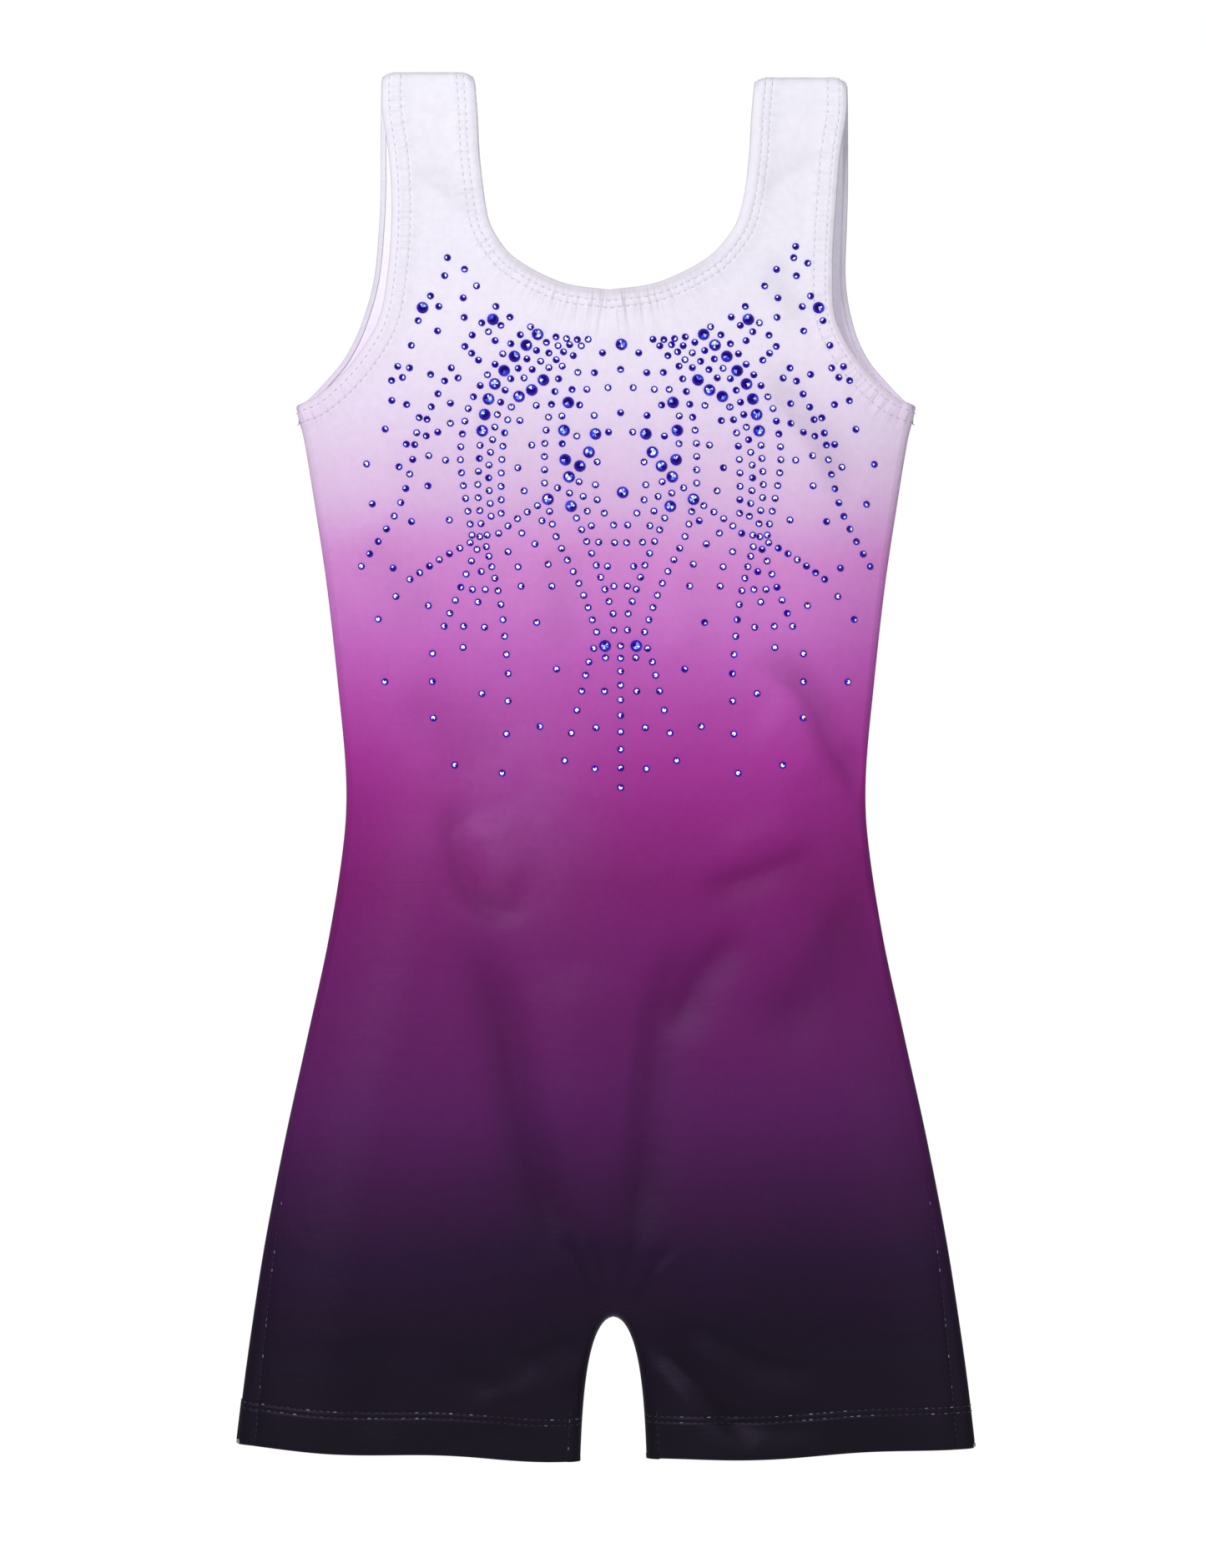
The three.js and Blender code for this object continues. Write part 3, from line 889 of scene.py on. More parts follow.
@dataclass(frozen=True)
class Stitching:
    """Short lengths of thread in a row.

    Attributes:
        pitch: Distance from one stitch to the next.
        length: Length of thread that shows.
        radius: Radius of the thread.
    """

    pitch: float = 3.0
    length: float = 2.1
    radius: float = 0.21

    def row(self, line: Array, normal: Array, closed: bool) -> Array:
        """One row of stitches along a line on the cloth.

        Each is a spindle: rings of four points round its axis, thinner towards both ends, that bend down
        into the cloth.

        Args:
            line: (n, 3) points of the row.
            normal: (n, 3) outward normals there.
            closed: Whether the row closes on itself.

        Returns:
            (stitches, 14, 3) points.
        """
        if closed:
            line, normal = np.vstack([line, line[:1]]), np.vstack([normal, normal[:1]])
        run = np.r_[0, np.cumsum(np.linalg.norm(np.diff(line, axis=0), axis=1))]
        count = max(int(run[-1] / self.pitch), 2)
        middle = (np.arange(count) + 0.5) * run[-1] / count
        ahead = unit(read_at(middle + 0.6, run, line) - read_at(middle - 0.6, run, line))
        up = read_at(middle, run, normal)
        side = np.cross(ahead, up)
        at = np.array([-0.5, -0.32, 0.0, 0.32, 0.5]) * self.length
        thick = np.array([0.0, 0.85, 1.0, 0.85, 0.0]) * self.radius
        lift = np.array([-0.5, 0.35, 0.75, 0.35, -0.5]) * self.radius
        angle = np.arange(4) * np.pi / 2
        shape = [(at[0], 0.0, lift[0])]
        for k in (1, 2, 3):
            shape += [(at[k], thick[k] * math.cos(a), lift[k] + thick[k] * math.sin(a)) for a in angle]
        shape.append((at[4], 0.0, lift[4]))
        x, y, z = np.array(shape).T[:, None, :, None]
        return read_at(middle, run, line)[:, None] + x * ahead[:, None] + y * side[:, None] + z * up[:, None]

    def build(self, name: str, rows: list[Array], material: bpy.types.Material,
              seed: Seed) -> bpy.types.Object:
        """All rows as one piece, each stitch with its own shade."""
        points = np.concatenate(rows)
        ends = [np.array([[0, 1 + (k + 1) % 4, 1 + k] for k in range(4)]),
                np.array([[13, 9 + k, 9 + (k + 1) % 4] for k in range(4)])]
        walls = [[1 + 4 * r + k, 1 + 4 * r + (k + 1) % 4, 5 + 4 * r + (k + 1) % 4, 5 + 4 * r + k]
                 for r in range(2) for k in range(4)]
        offset = (np.arange(len(points)) * 14)[:, None, None]
        faces = [(part[None] + offset).reshape(-1, part.shape[1]) for part in (*ends, np.array(walls))]
        shade = np.repeat(np.random.default_rng(seed.value).random(len(points)), 14)
        return make_closed(name, points.reshape(-1, 3), faces, material, points={"shade": shade})


def zigzag(near: Array, far: Array, steps: int) -> Array:
    """A line that goes to and fro between two lines, "steps" points long on each."""
    at = np.linspace(0, len(near) - 1, 2 * steps)
    both = [read_at(at, np.arange(len(near)), line) for line in (near, far)]
    odd = (np.arange(2 * steps) % 2 == 1)[:, None]
    return np.where(odd, both[1], both[0])


# ---- Crystals ----


@dataclass(frozen=True)
class Motif:
    """The crystals on the chest, as one half: distance from the motif's middle line, height.

    Attributes:
        middle: x of the middle line.
        strings: Rows of small crystals: how many, how fast their spacing grows, and the line they follow.
        singles: Small crystals on their own.
        right_only: Small crystals that only the right half has.
        centre: Heights of small crystals on the middle line.
        large: Large crystals, both halves.
        large_centre: Large crystals near the middle line, set once.
    """

    middle: float = 5.8
    strings: tuple[tuple[int, float, Pairs], ...] = (
        (4, 1, ((12.9, -107), (19, -107), (25.7, -106))),
        (16, 1, ((29.5, -108.2), (37.4, -115), (43.5, -122.5), (47.6, -132), (50.5, -145), (52.4, -160),
                 (51.4, -177.5))),
        (18, 1, ((35.8, -102), (42.8, -107.8), (49.6, -116.6), (55.8, -125.5), (60.4, -134.3), (63.3, -148),
                 (63.2, -160), (59.7, -180.6))),
        (7, 1, ((15.6, -109.6), (24.5, -109.4), (31, -115), (38.4, -122.4))),
        (9, 1, ((43.3, -134), (46, -144), (47.3, -158), (47.4, -176.3))),
        (10, 1, ((23.2, -117.7), (27.6, -133.5), (30, -147), (30.2, -164.3))),
        (3, 1, ((22.7, -112), (28.5, -118.3))),
        (9, 1, ((55.8, -149.3), (56.7, -167), (55.4, -181), (57, -190.7))),
        (4, 1, ((10, -165), (9.2, -171.3), (6.3, -176.5), (2.8, -181))),
        (4, 1, ((16.5, -163.8), (11.6, -181.3))),
        (9, 1, ((17.5, -178.2), (11.6, -192), (7.8, -202), (3, -216.2))),
        (11, 1, ((28.2, -175.6), (25.4, -186), (16.2, -205), (9.5, -223.5))),
        (6, 1.2, ((12.6, -235.4), (15.4, -246.8), (22.2, -274.5))),
        (3, 1.1, ((6.4, -247), (9.8, -261.7), (10.2, -277.8))),
        (5, 1, ((33, -173.3), (40.3, -178), (48.4, -184.3))),
        (7, 1, ((59.7, -188), (70.7, -194), (83.6, -202.5))),
        (6, 1, ((59.2, -195.3), (65.2, -210), (70, -221.2))),
        (9, 1.09, ((53.3, -189.6), (47.7, -211.5), (45.3, -232.4))),
        (4, 1.2, ((44.6, -240), (44.7, -251.4), (45.1, -262.5), (47, -279.5))),
        (10, 1, ((81.8, -149), (83.6, -160.2), (89.2, -176.2), (103, -197.2))),
        (4, 1, ((67.3, -118.4), (75.2, -133.9))),
        (3, 1, ((80, -138.2), (81, -144.3), (85.1, -148.8))),
        (2, 1, ((76.9, -138.9), (77.2, -145.5))),
        (3, 1.3, ((74.6, -232), (74.7, -242.4), (74.3, -257.6))),
        (3, 1, ((61.9, -109.8), (56.5, -115.3))),
        (3, 1, ((55.2, -100.4), (49.9, -107.5))),
        (3, 1, ((68.9, -74.3), (62.3, -78.7), (57.3, -85.6))),
    )
    singles: Pairs = (
        (7.2, -112.4), (18.8, -113.5), (10.4, -120.3), (17, -120.2), (5, -126.3), (13.4, -127),
        (19.3, -127), (16.3, -133.2), (10.5, -137.4), (23.3, -137.6), (4.8, -144), (17.4, -145.6),
        (23.2, -148.6), (35.3, -149.2), (33.5, -133.4), (40, -139.4), (40.8, -158.2), (38.3, -167.4),
        (9.3, -155.9), (20.3, -168.3), (25, -166.2), (31.2, -179.3), (39.2, -184.2), (8.7, -187.8),
        (2.4, -188), (5.2, -197.4), (2.7, -205.3), (2.7, -222.7), (10.7, -230), (6, -233.7), (25.4, -238.2),
        (33.3, -219.7), (32, -261), (28.8, -196.6), (27.3, -205.3), (34, -188.5), (40.7, -197.6),
        (39.5, -205.3), (44.7, -191.6), (53, -185), (59, -185), (55.3, -199.5), (53.7, -206.6),
        (58.8, -206.6), (56.6, -211.6), (54, -221.6), (62.3, -221.2), (62.5, -229.6), (76.3, -213),
        (55, -247.9), (93.5, -243.2), (90.3, -198), (89.2, -209.3), (96.2, -218.3), (65.8, -276.3),
        (88, -157.8), (64.6, -122.4), (67.6, -132.5), (67.6, -140.5), (72.6, -144), (76.2, -153.4),
        (69.5, -155.2), (76.5, -165.4), (68, -179), (83, -179.6), (75.5, -121), (83.9, -118.4),
        (88.6, -117.8), (86.7, -122.2), (91, -123.4), (90.9, -131.4), (85, -133), (93.5, -142.8),
        (100.9, -156.6), (98.6, -172.5), (83.2, -109.4), (72.8, -103.6), (80.5, -99.5), (75.6, -89.6),
        (72.3, -93.8), (62.2, -98.2), (59, -105.3), (49.6, -93.8), (44, -98.1), (43.5, -134), (70, -81.5),
        (62.6, -90.4), (47.6, -101.4),
    )
    right_only: Pairs = ((69.7, -69.8), (74.5, -76.5))
    centre: tuple[float, ...] = (-119, -136.3)
    large: Pairs = (
        (33, -105), (37.5, -109.3), (42.2, -113.8), (46.3, -119.5), (50, -124.8), (52.5, -130.8),
        (54, -137), (55, -143.5), (30.7, -123.2), (35.3, -127.2), (40.4, -129.8), (20.8, -132.2),
        (22.5, -143.3), (10, -144.7), (12.6, -152), (22, -155), (16.2, -157.5), (20.5, -161.8),
        (28.9, -170.7), (19.7, -173.5), (6.2, -229), (78.8, -94.3), (50.8, -99),
    )
    large_centre: Pairs = ((0.3, -109), (0.8, -168))

    def string(self, count: int, growth: float, line: Array) -> Array:
        """Points along a line whose gaps grow by the factor "growth" from one to the next."""
        curve = spline(line, 0.25)
        run = run_of(curve)
        share = np.r_[0, np.cumsum(growth ** np.arange(count - 1))]
        return read_at(share / share[-1] * run[-1], run, curve)

    def both(self, half: Array) -> Array:
        """A half mirrored to both sides; low on the right the cloth is drawn in a little."""
        d, z = np.asarray(half, float).T
        drawn = 0.06 * np.maximum(d - 40, 0) * smoothstep(-z, 160, 200)
        left, right = self.middle - d, self.middle + d - drawn
        return np.vstack([np.column_stack([left, z]), np.column_stack([right, z])])

    def small_places(self) -> Array:
        """Places of all small crystals."""
        half = np.vstack([*(self.string(*row) for row in self.strings), self.singles])
        column = self.string(10, 1.06, np.array([[0, -229.0], [0, -285.2]]))
        centre = np.vstack([[[0.0, z] for z in self.centre], column, self.right_only])
        return np.vstack([self.both(half), centre + [self.middle, 0]])

    def large_places(self) -> Array:
        """Places of all large crystals."""
        return np.vstack([self.both(self.large), np.array(self.large_centre) + [self.middle, 0]])


@dataclass(frozen=True)
class Crystal:
    """A flat-backed faceted crystal, glued on.

    Attributes:
        radius: Its radius.
        height: Its height.
        sides: Facets round it.
        rings: (share of the radius, share of the height) from the back up to the flat top.
        table: Painted highlight levels that the parts of a bright crystal's flat top may have.
        glued: How far its back is pressed into the cloth.
    """

    radius: float
    height: float
    sides: int
    rings: Pairs
    table: tuple[float, ...]
    glued: float = 0.1

    def build(self, name: str, places: Array, material: bpy.types.Material, seed: Seed) -> bpy.types.Object:
        """Sets one crystal at each place, turned at random, square to the cloth.

        Each facet gets a painted reflection, bright or dark, by the angle between its direction and one that
        differs from crystal to crystal, standing in for the light that facets of a foiled crystal send back.

        Args:
            name: The piece's name.
            places: (n, 2) places on the front.
            material: Its finish.
            seed: Seed of the random turns and shades.

        Returns:
            The piece.
        """
        rng = np.random.default_rng(seed.value)
        n, m, tiers = len(places), self.sides, len(self.rings)
        step = 0.8
        middle = FORM.surface(*places.T, Face.FRONT)
        dx, dz = (FORM.surface(*(places + move).T, Face.FRONT) - FORM.surface(*(places - move).T, Face.FRONT)
                  for move in ((step, 0), (0, step)))
        out, right = unit(np.cross(dx, dz)), unit(dx)
        up = np.cross(out, right)
        turn = rng.uniform(0, 2 * np.pi, n)[:, None] + np.arange(m) * 2 * np.pi / m
        rows = []
        for share, high in self.rings:
            u, v = (self.radius * share * f(turn)[..., None] for f in (np.cos, np.sin))
            lift = (high * self.height - self.glued) * out[:, None]
            rows.append(middle[:, None] + u * right[:, None] + v * up[:, None] + lift)
        top = middle + (self.rings[-1][1] * self.height - self.glued) * out
        points = np.concatenate([*rows, top[:, None]], axis=1)
        k = np.arange(m)
        walls = [np.column_stack([t * m + k, t * m + (k + 1) % m, (t + 1) * m + (k + 1) % m, (t + 1) * m + k])
                 for t in range(tiers - 1)]
        table = np.column_stack([(tiers - 1) * m + k, (tiers - 1) * m + (k + 1) % m, np.full(m, tiers * m)])
        base = k[None, ::-1]
        offset = (np.arange(n) * (tiers * m + 1))[:, None, None]
        faces = [(part[None] + offset).reshape(-1, part.shape[1]) for part in (np.vstack(walls), table, base)]
        aim = turn + np.pi / m
        # Painted reflections: each crystal gets a random direction whose facets are painted bright; higher on
        # the chest, far out to the sides and towards the right more crystals are painted mostly dark, with
        # few highlights.
        bright = rng.uniform(0, 2 * np.pi, n)[:, None]
        x, z = places.T
        outer = smoothstep(np.abs(x - 5), 60, 76) * smoothstep(z, -220, -190)
        often = 0.04 + 0.68 * smoothstep(z, -165, -112) + 0.45 * outer + 0.3 * smoothstep(x, 5, 100)
        painted_dim = (rng.random(n) < often)[:, None]
        facing = np.cos(aim - bright)
        table_painted_light = np.where(painted_dim, facing > 0.62, facing > -0.88 + 0.25 * rng.random((n, 1)))
        table_painted_light = table_painted_light * rng.choice(self.table, (n, m))
        painted_shine = np.where(facing > 0.6, 0.4, 0.22)
        crown = [painted_shine * rng.uniform(0.5, 1.15, (n, m)) * (t > 0) for t in range(tiers - 1)]
        painted_facet_light = np.concatenate([np.concatenate(crown, axis=1).ravel(), table_painted_light.ravel(), np.zeros(n)])
        return make_object(name, points.reshape(-1, 3), faces, material, smooth=False, per_face={"painted_facet_light": painted_facet_light})


LARGE = Crystal(2.35, 1.7, 12, ((0.97, 0.0), (1.0, 0.3), (0.82, 0.7), (0.6, 1.0)), (1.0, 0.8, 0.62, 0.5, 0.4))
SMALL = Crystal(1.45, 1.0, 8, ((0.97, 0.0), (1.0, 0.35), (0.54, 1.0)), (1.0, 1.0, 0.9))


# ---- Finishes ----


def colour(code: str) -> tuple[float, float, float, float]:
    """A linear colour from its six hexadecimal digits."""
    part = [int(code[k : k + 2], 16) / 255 for k in (0, 2, 4)]
    return (*(c / 12.92 if c < 0.04045 else ((c + 0.055) / 1.055) ** 2.4 for c in part), 1.0)


class Nodes:
    """Short ways to add nodes to a tree."""

    def __init__(self, tree: bpy.types.NodeTree) -> None:
        """Args: tree: The tree to add to."""
        self.tree = tree

    def add(self, kind: str, inputs: dict[str | int, object] | None = None,
            **settings: object) -> bpy.types.Node:
        """Adds a node with its settings, and fills or links its inputs."""
        node = self.tree.nodes.new(kind)
        for key, value in settings.items():
            setattr(node, key, value)
        for key, value in (inputs or {}).items():
            if isinstance(value, bpy.types.NodeSocket):
                self.tree.links.new(value, node.inputs[key])
            else:
                node.inputs[key].default_value = value
        return node

    def math(self, operation: str, *values: object) -> bpy.types.NodeSocket:
        """Adds a Math node and returns its result."""
        return self.add("ShaderNodeMath", dict(enumerate(values)), operation=operation).outputs[0]

    def link(self, socket: bpy.types.NodeSocket, node: bpy.types.Node, key: str | int) -> None:
        """Links a value to a node's input."""
        self.tree.links.new(socket, node.inputs[key])

    def mark(self, name: str) -> bpy.types.NodeSocket:
        """Reads a value kept on the mesh."""
        return self.add("ShaderNodeAttribute", attribute_name=name).outputs["Fac"]

    def noise(self, place: object, scale: float, detail: float,
              roughness: float = 0.5) -> bpy.types.NodeSocket:
        """Adds a noise texture and returns its value."""
        inputs = {"Vector": place, "Scale": scale, "Detail": detail, "Roughness": roughness}
        return self.add("ShaderNodeTexNoise", inputs).outputs[0]

    def mix(self, share: object, tone: object, code: str) -> bpy.types.NodeSocket:
        """Mixes a tone with the colour of a code by the second one's share."""
        return self.add("ShaderNodeMix", {0: share, 6: tone, 7: colour(code)}, data_type="RGBA").outputs[2]

    def scaled(self, tone: object, by: object) -> bpy.types.NodeSocket:
        """Makes a tone lighter or darker by a factor."""
        return self.add("ShaderNodeVectorMath", {0: tone, "Scale": by}, operation="SCALE").outputs[0]

    def wave(self, value: object, pitch: float) -> bpy.types.NodeSocket:
        """A sine of the value that repeats every "pitch"."""
        return self.math("SINE", self.math("MULTIPLY", value, 2 * math.pi / pitch))

    def ramp(self, value: bpy.types.NodeSocket, stops: tuple[tuple[float, str], ...]) -> bpy.types.NodeSocket:
        """Adds a colour ramp and returns its colour."""
        node = self.add("ShaderNodeValToRGB", {0: value})
        band = node.color_ramp
        while len(band.elements) < len(stops):
            band.elements.new(1.0)
        for element, (at, code) in zip(band.elements, stops):
            element.position, element.color = at, colour(code)
        return node.outputs[0]

    def bell(self, value: object, centre: object, width: float) -> bpy.types.NodeSocket:
        """A bell curve of the value: e to minus the square of its distance from the centre over the width."""
        off = self.math("DIVIDE", self.math("SUBTRACT", value, centre), width)
        return self.math("POWER", 2.718, self.math("MULTIPLY", self.math("MULTIPLY", off, off), -1.0))


def new_group(name: str, inputs: tuple[tuple[str, str], ...],
              output: tuple[str, str]) -> tuple[Nodes, bpy.types.Node, bpy.types.Node]:
    """Makes an empty shader node group.

    Args:
        name: Its name.
        inputs: (name, kind of socket) of each input.
        output: (name, kind of socket) of its output.

    Returns:
        Its nodes, its input node and its output node.
    """
    tree = bpy.data.node_groups.new(name, "ShaderNodeTree")
    for label, kind in inputs:
        tree.interface.new_socket(label, in_out="INPUT", socket_type=kind)
    tree.interface.new_socket(output[0], in_out="OUTPUT", socket_type=output[1])
    nodes = Nodes(tree)
    return nodes, nodes.add("NodeGroupInput"), nodes.add("NodeGroupOutput")


VECTOR, NUMBER, COLOUR = "NodeSocketVector", "NodeSocketFloat", "NodeSocketColor"
SEWN = ("Edge", "Run", "Arm", "Hem", "Seam", "Gather")

# Share of the way down from z = 0 to z = -560, and the print's colour there.
PRINT: tuple[tuple[float, str], ...] = (
    (0.0, "f4f2fd"), (0.12, "f2eefa"), (0.18, "f2ebf9"), (0.225, "ecdff4"), (0.265, "e4ceeb"),
    (0.292, "e0c0e5"), (0.31, "dbb4e0"), (0.328, "d79fd9"), (0.348, "d38ad0"), (0.385, "c976c7"),
    (0.415, "bf60ba"), (0.45, "b14aa7"), (0.485, "a43796"), (0.52, "942a85"), (0.575, "7c1f6e"),
    (0.63, "6d1e67"), (0.685, "621e60"), (0.74, "531d58"), (0.79, "3d1843"), (0.84, "271531"),
    (0.895, "1b1222"), (1.0, "131317"),
)


def print_group() -> bpy.types.NodeTree:
    """The colour print: it fades down the garment, with soft airbrushed drifts and faint flecks."""
    nodes, given, result = new_group("Faded print", (("Place", VECTOR),), ("Color", COLOUR))
    place = given.outputs["Place"]
    drift, fleck = nodes.noise(place, 9.0, 2.0), nodes.noise(place, 330.0, 1.0)
    part = nodes.add("ShaderNodeSeparateXYZ", {0: place})
    x, z = part.outputs["X"], part.outputs["Z"]
    down = nodes.math("MULTIPLY", z, -1 / 0.56)
    down = nodes.math("ADD", down, nodes.math("MULTIPLY_ADD", drift, 0.036, -0.018))
    # A soft pale lilac patch left of the middle, about 285 mm down, mottled by noise.
    pale_patch = nodes.math("MULTIPLY", nodes.bell(x, -0.036, 0.03), nodes.bell(z, -0.285, 0.045))
    pale_patch = nodes.math("MULTIPLY", nodes.math("MULTIPLY", pale_patch, nodes.noise(place, 55.0, 4.0, 0.7)), 0.2)
    tone = nodes.mix(pale_patch, nodes.ramp(down, PRINT), "b69bd6")
    nodes.link(nodes.scaled(tone, nodes.math("MULTIPLY_ADD", fleck, 0.10, 0.95)), result, 0)
    return nodes.tree


def knit_group() -> bpy.types.NodeTree:
    """Height in millimetres of a fine warp knit: columns of loops, courses across, and uneven yarn."""
    nodes, given, result = new_group("Fine knit", (("Place", VECTOR),), ("Height", NUMBER))
    place = given.outputs["Place"]
    part = nodes.add("ShaderNodeSeparateXYZ", {0: place})
    column, course = nodes.wave(part.outputs["X"], 0.00052), nodes.wave(part.outputs["Z"], 0.00043)
    loops = nodes.math("MULTIPLY", nodes.math("ADD", column, nodes.math("MULTIPLY", course, column)), 0.012)
    flat = nodes.add("ShaderNodeVectorMath", {0: place, 1: (40.0, 40.0, 900.0)}, operation="MULTIPLY")
    rows = nodes.math("MULTIPLY", nodes.noise(flat.outputs[0], 1.0, 2.0), 0.05)
    cloudy = nodes.math("MULTIPLY", nodes.noise(place, 120.0, 3.0), 0.22)
    nodes.link(nodes.math("ADD", loops, nodes.math("ADD", rows, cloudy)), result, 0)
    return nodes.tree


def sewn_group() -> bpy.types.NodeTree:
    """Height in millimetres near sewn edges: furrows under the stitch rows, puckers, and padded elastic."""
    inputs = tuple((name, NUMBER) for name in SEWN)
    nodes, given, result = new_group("Sewn relief", inputs, ("Height", NUMBER))
    edge, run, arm, hem, seam, gather = (given.outputs[name] for name in SEWN)
    inner = nodes.math("MULTIPLY_ADD", arm, -1.6, 4.6)
    outer = nodes.math("MULTIPLY_ADD", arm, 0.3, 7.4)
    rows = [nodes.bell(edge, inner, 0.55), nodes.bell(edge, outer, 0.55), nodes.bell(hem, 17.0, 0.55),
            nodes.bell(hem, 14.7, 0.5), nodes.math("MULTIPLY", nodes.bell(seam, 0.0, 0.5), 0.5)]
    furrow = rows[0]
    for row in rows[1:]:
        furrow = nodes.math("ADD", furrow, row)
    spread = {0: nodes.math("MULTIPLY", run, 0.42), 1: nodes.math("MULTIPLY", edge, 0.05)}
    pucker = nodes.noise(nodes.add("ShaderNodeCombineXYZ", spread).outputs[0], 1.0, 1.5)
    zone = nodes.math("ADD", nodes.bell(edge, 6.0, 4.2), nodes.math("MULTIPLY", gather, 0.9))
    pull = nodes.math("MULTIPLY", nodes.math("MULTIPLY", pucker, zone), 1.3)
    padded = nodes.math("MULTIPLY", nodes.bell(edge, 2.6, 2.0), 0.5)
    height = nodes.math("ADD", nodes.math("MULTIPLY", furrow, -0.17), nodes.math("ADD", pull, padded))
    nodes.link(height, result, 0)
    return nodes.tree


@dataclass(frozen=True)
class Finish:
    """Uniform values of a finish, set straight on the shader.

    Attributes:
        name: The finish's name.
        roughness: Roughness.
        sheen: Sheen weight.
        specular: Specular level.
        tint: Tint of its reflections.
    """

    name: str
    roughness: float = 0.5
    sheen: float = 0.0
    specular: float = 0.5
    tint: tuple[float, float, float] = (1.0, 1.0, 1.0)

    def start(self) -> tuple[bpy.types.Material, Nodes, bpy.types.Node, bpy.types.NodeSocket]:
        """Makes the material; returns it, its nodes, its shader and the place on the object."""
        material = bpy.data.materials.new(self.name)
        material.use_nodes = True
        nodes = Nodes(material.node_tree)
        shader = material.node_tree.nodes["Principled BSDF"]
        values = {"Roughness": self.roughness, "Sheen Weight": self.sheen,
                  "Specular IOR Level": self.specular, "Specular Tint": (*self.tint, 1.0)}
        for key, value in values.items():
            shader.inputs[key].default_value = value
        return material, nodes, shader, nodes.add("ShaderNodeTexCoord").outputs["Object"]

    def bump(self, nodes: Nodes, shader: bpy.types.Node, height: bpy.types.NodeSocket) -> None:
        """Feeds a height in millimetres to the shader's normal."""
        node = nodes.add("ShaderNodeBump", {"Height": height, "Distance": 0.001, "Strength": 1.0})
        nodes.link(node.outputs[0], shader, "Normal")


@dataclass(frozen=True)
class Knits:
    """The finishes of the cloth, which share the print, the knit and the sewn relief.

    Attributes:
        printed: The outer side.
        reverse: The unprinted side, which the print shows through.
        turned: Cloth turned over to the inside.
        through: Strength of the painted glow given to cloth seen from inside: it gives off its own tone as
            light, standing in for light that comes through it.
        deepest_painted_shade: Most that the painted shade in hollows and along the neck's rolled edge may
            darken the print.
    """

    printed: Finish = Finish("printed_knit", roughness=0.38, specular=0.15, tint=(0.7, 0.55, 0.92))
    reverse: Finish = Finish("knit_reverse", roughness=0.75, specular=0.15)
    turned: Finish = Finish("turned_knit", roughness=0.48, specular=0.2)
    through: float = 0.13
    deepest_painted_shade: float = 0.4

    def shaded(self, nodes: Nodes, tone: bpy.types.NodeSocket) -> bpy.types.NodeSocket:
        """The tone darkened by painted shade where the cloth is drawn into a fold and along the rolled edge
        of the neck.
        """
        hollow, edge, arm, run = (nodes.mark(name) for name in ("hollow", "edge", "arm", "run"))
        flank = nodes.add("ShaderNodeMapRange", {0: run, 1: 62.0, 2: 82.0, 3: 0.0, 4: 0.13}).outputs[0]
        neck = nodes.math("MULTIPLY_ADD", arm, -1.0, 1.0)
        rolled = nodes.math("MULTIPLY", nodes.bell(edge, 1.9, 1.5), neck)
        # Painted shade: darker by the depth of a fold's hollow, and in a thin band along the neck's rolled
        # edge on its lower flanks.
        painted_shade = nodes.math("MULTIPLY_ADD", hollow, 0.075, nodes.math("MULTIPLY", rolled, flank))
        return nodes.scaled(tone, nodes.math("SUBTRACT", 1.0, nodes.math("MINIMUM", painted_shade, self.deepest_painted_shade)))

    def cloth(self, finish: Finish, shared: dict[str, bpy.types.NodeTree], sewn: bool = False,
              pale: float = 0.0) -> bpy.types.Material:
        """Printed cloth.

        Args:
            finish: Its uniform values.
            shared: The shared node groups.
            sewn: Whether it reads the distances from the sewn edges and gets painted shade; cloth that is not
                sewn gets the painted glow instead.
            pale: How much of the print is lost to white, as on the cloth's reverse.

        Returns:
            The material.
        """
        material, nodes, shader, place = finish.start()
        tone = nodes.add("ShaderNodeGroup", {"Place": place}, node_tree=shared["print"]).outputs[0]
        if pale:
            tone = nodes.mix(pale, tone, "f3f1f6")
        if sewn:
            tone = self.shaded(nodes, tone)
        else:
            # Painted glow: cloth that is not sewn gives off its own tone as light, standing in for light
            # through thin cloth.
            nodes.link(tone, shader, "Emission Color")
            shader.inputs["Emission Strength"].default_value = self.through
        nodes.link(tone, shader, "Base Color")
        height = nodes.add("ShaderNodeGroup", {"Place": place}, node_tree=shared["knit"]).outputs[0]
        if sewn:
            marks = {name: nodes.mark(name.lower()) for name in SEWN}
            relief = nodes.add("ShaderNodeGroup", marks, node_tree=shared["sewn"])
            height = nodes.math("ADD", height, relief.outputs[0])
        finish.bump(nodes, shader, height)
        return material


@dataclass(frozen=True)
class PlainCloth:
    """Braid and lining: one colour, ribbed across, slightly mottled.

    Attributes:
        finish: Its uniform values.
        low: Its darker colour.
        high: Its paler colour.
        rib: Distance from one rib to the next.
    """

    finish: Finish
    low: str
    high: str
    rib: float

    def build(self) -> bpy.types.Material:
        """Makes the material."""
        material, nodes, shader, place = self.finish.start()
        mottle = nodes.noise(place, 700.0, 3.0)
        nodes.link(nodes.ramp(mottle, ((0.3, self.low), (0.7, self.high))), shader, "Base Color")
        part = nodes.add("ShaderNodeSeparateXYZ", {0: place})
        rib = nodes.wave(nodes.math("ADD", part.outputs["X"], part.outputs["Z"]), self.rib * 0.001)
        self.finish.bump(nodes, shader, nodes.math("MULTIPLY_ADD", rib, 0.08, mottle))
        return material


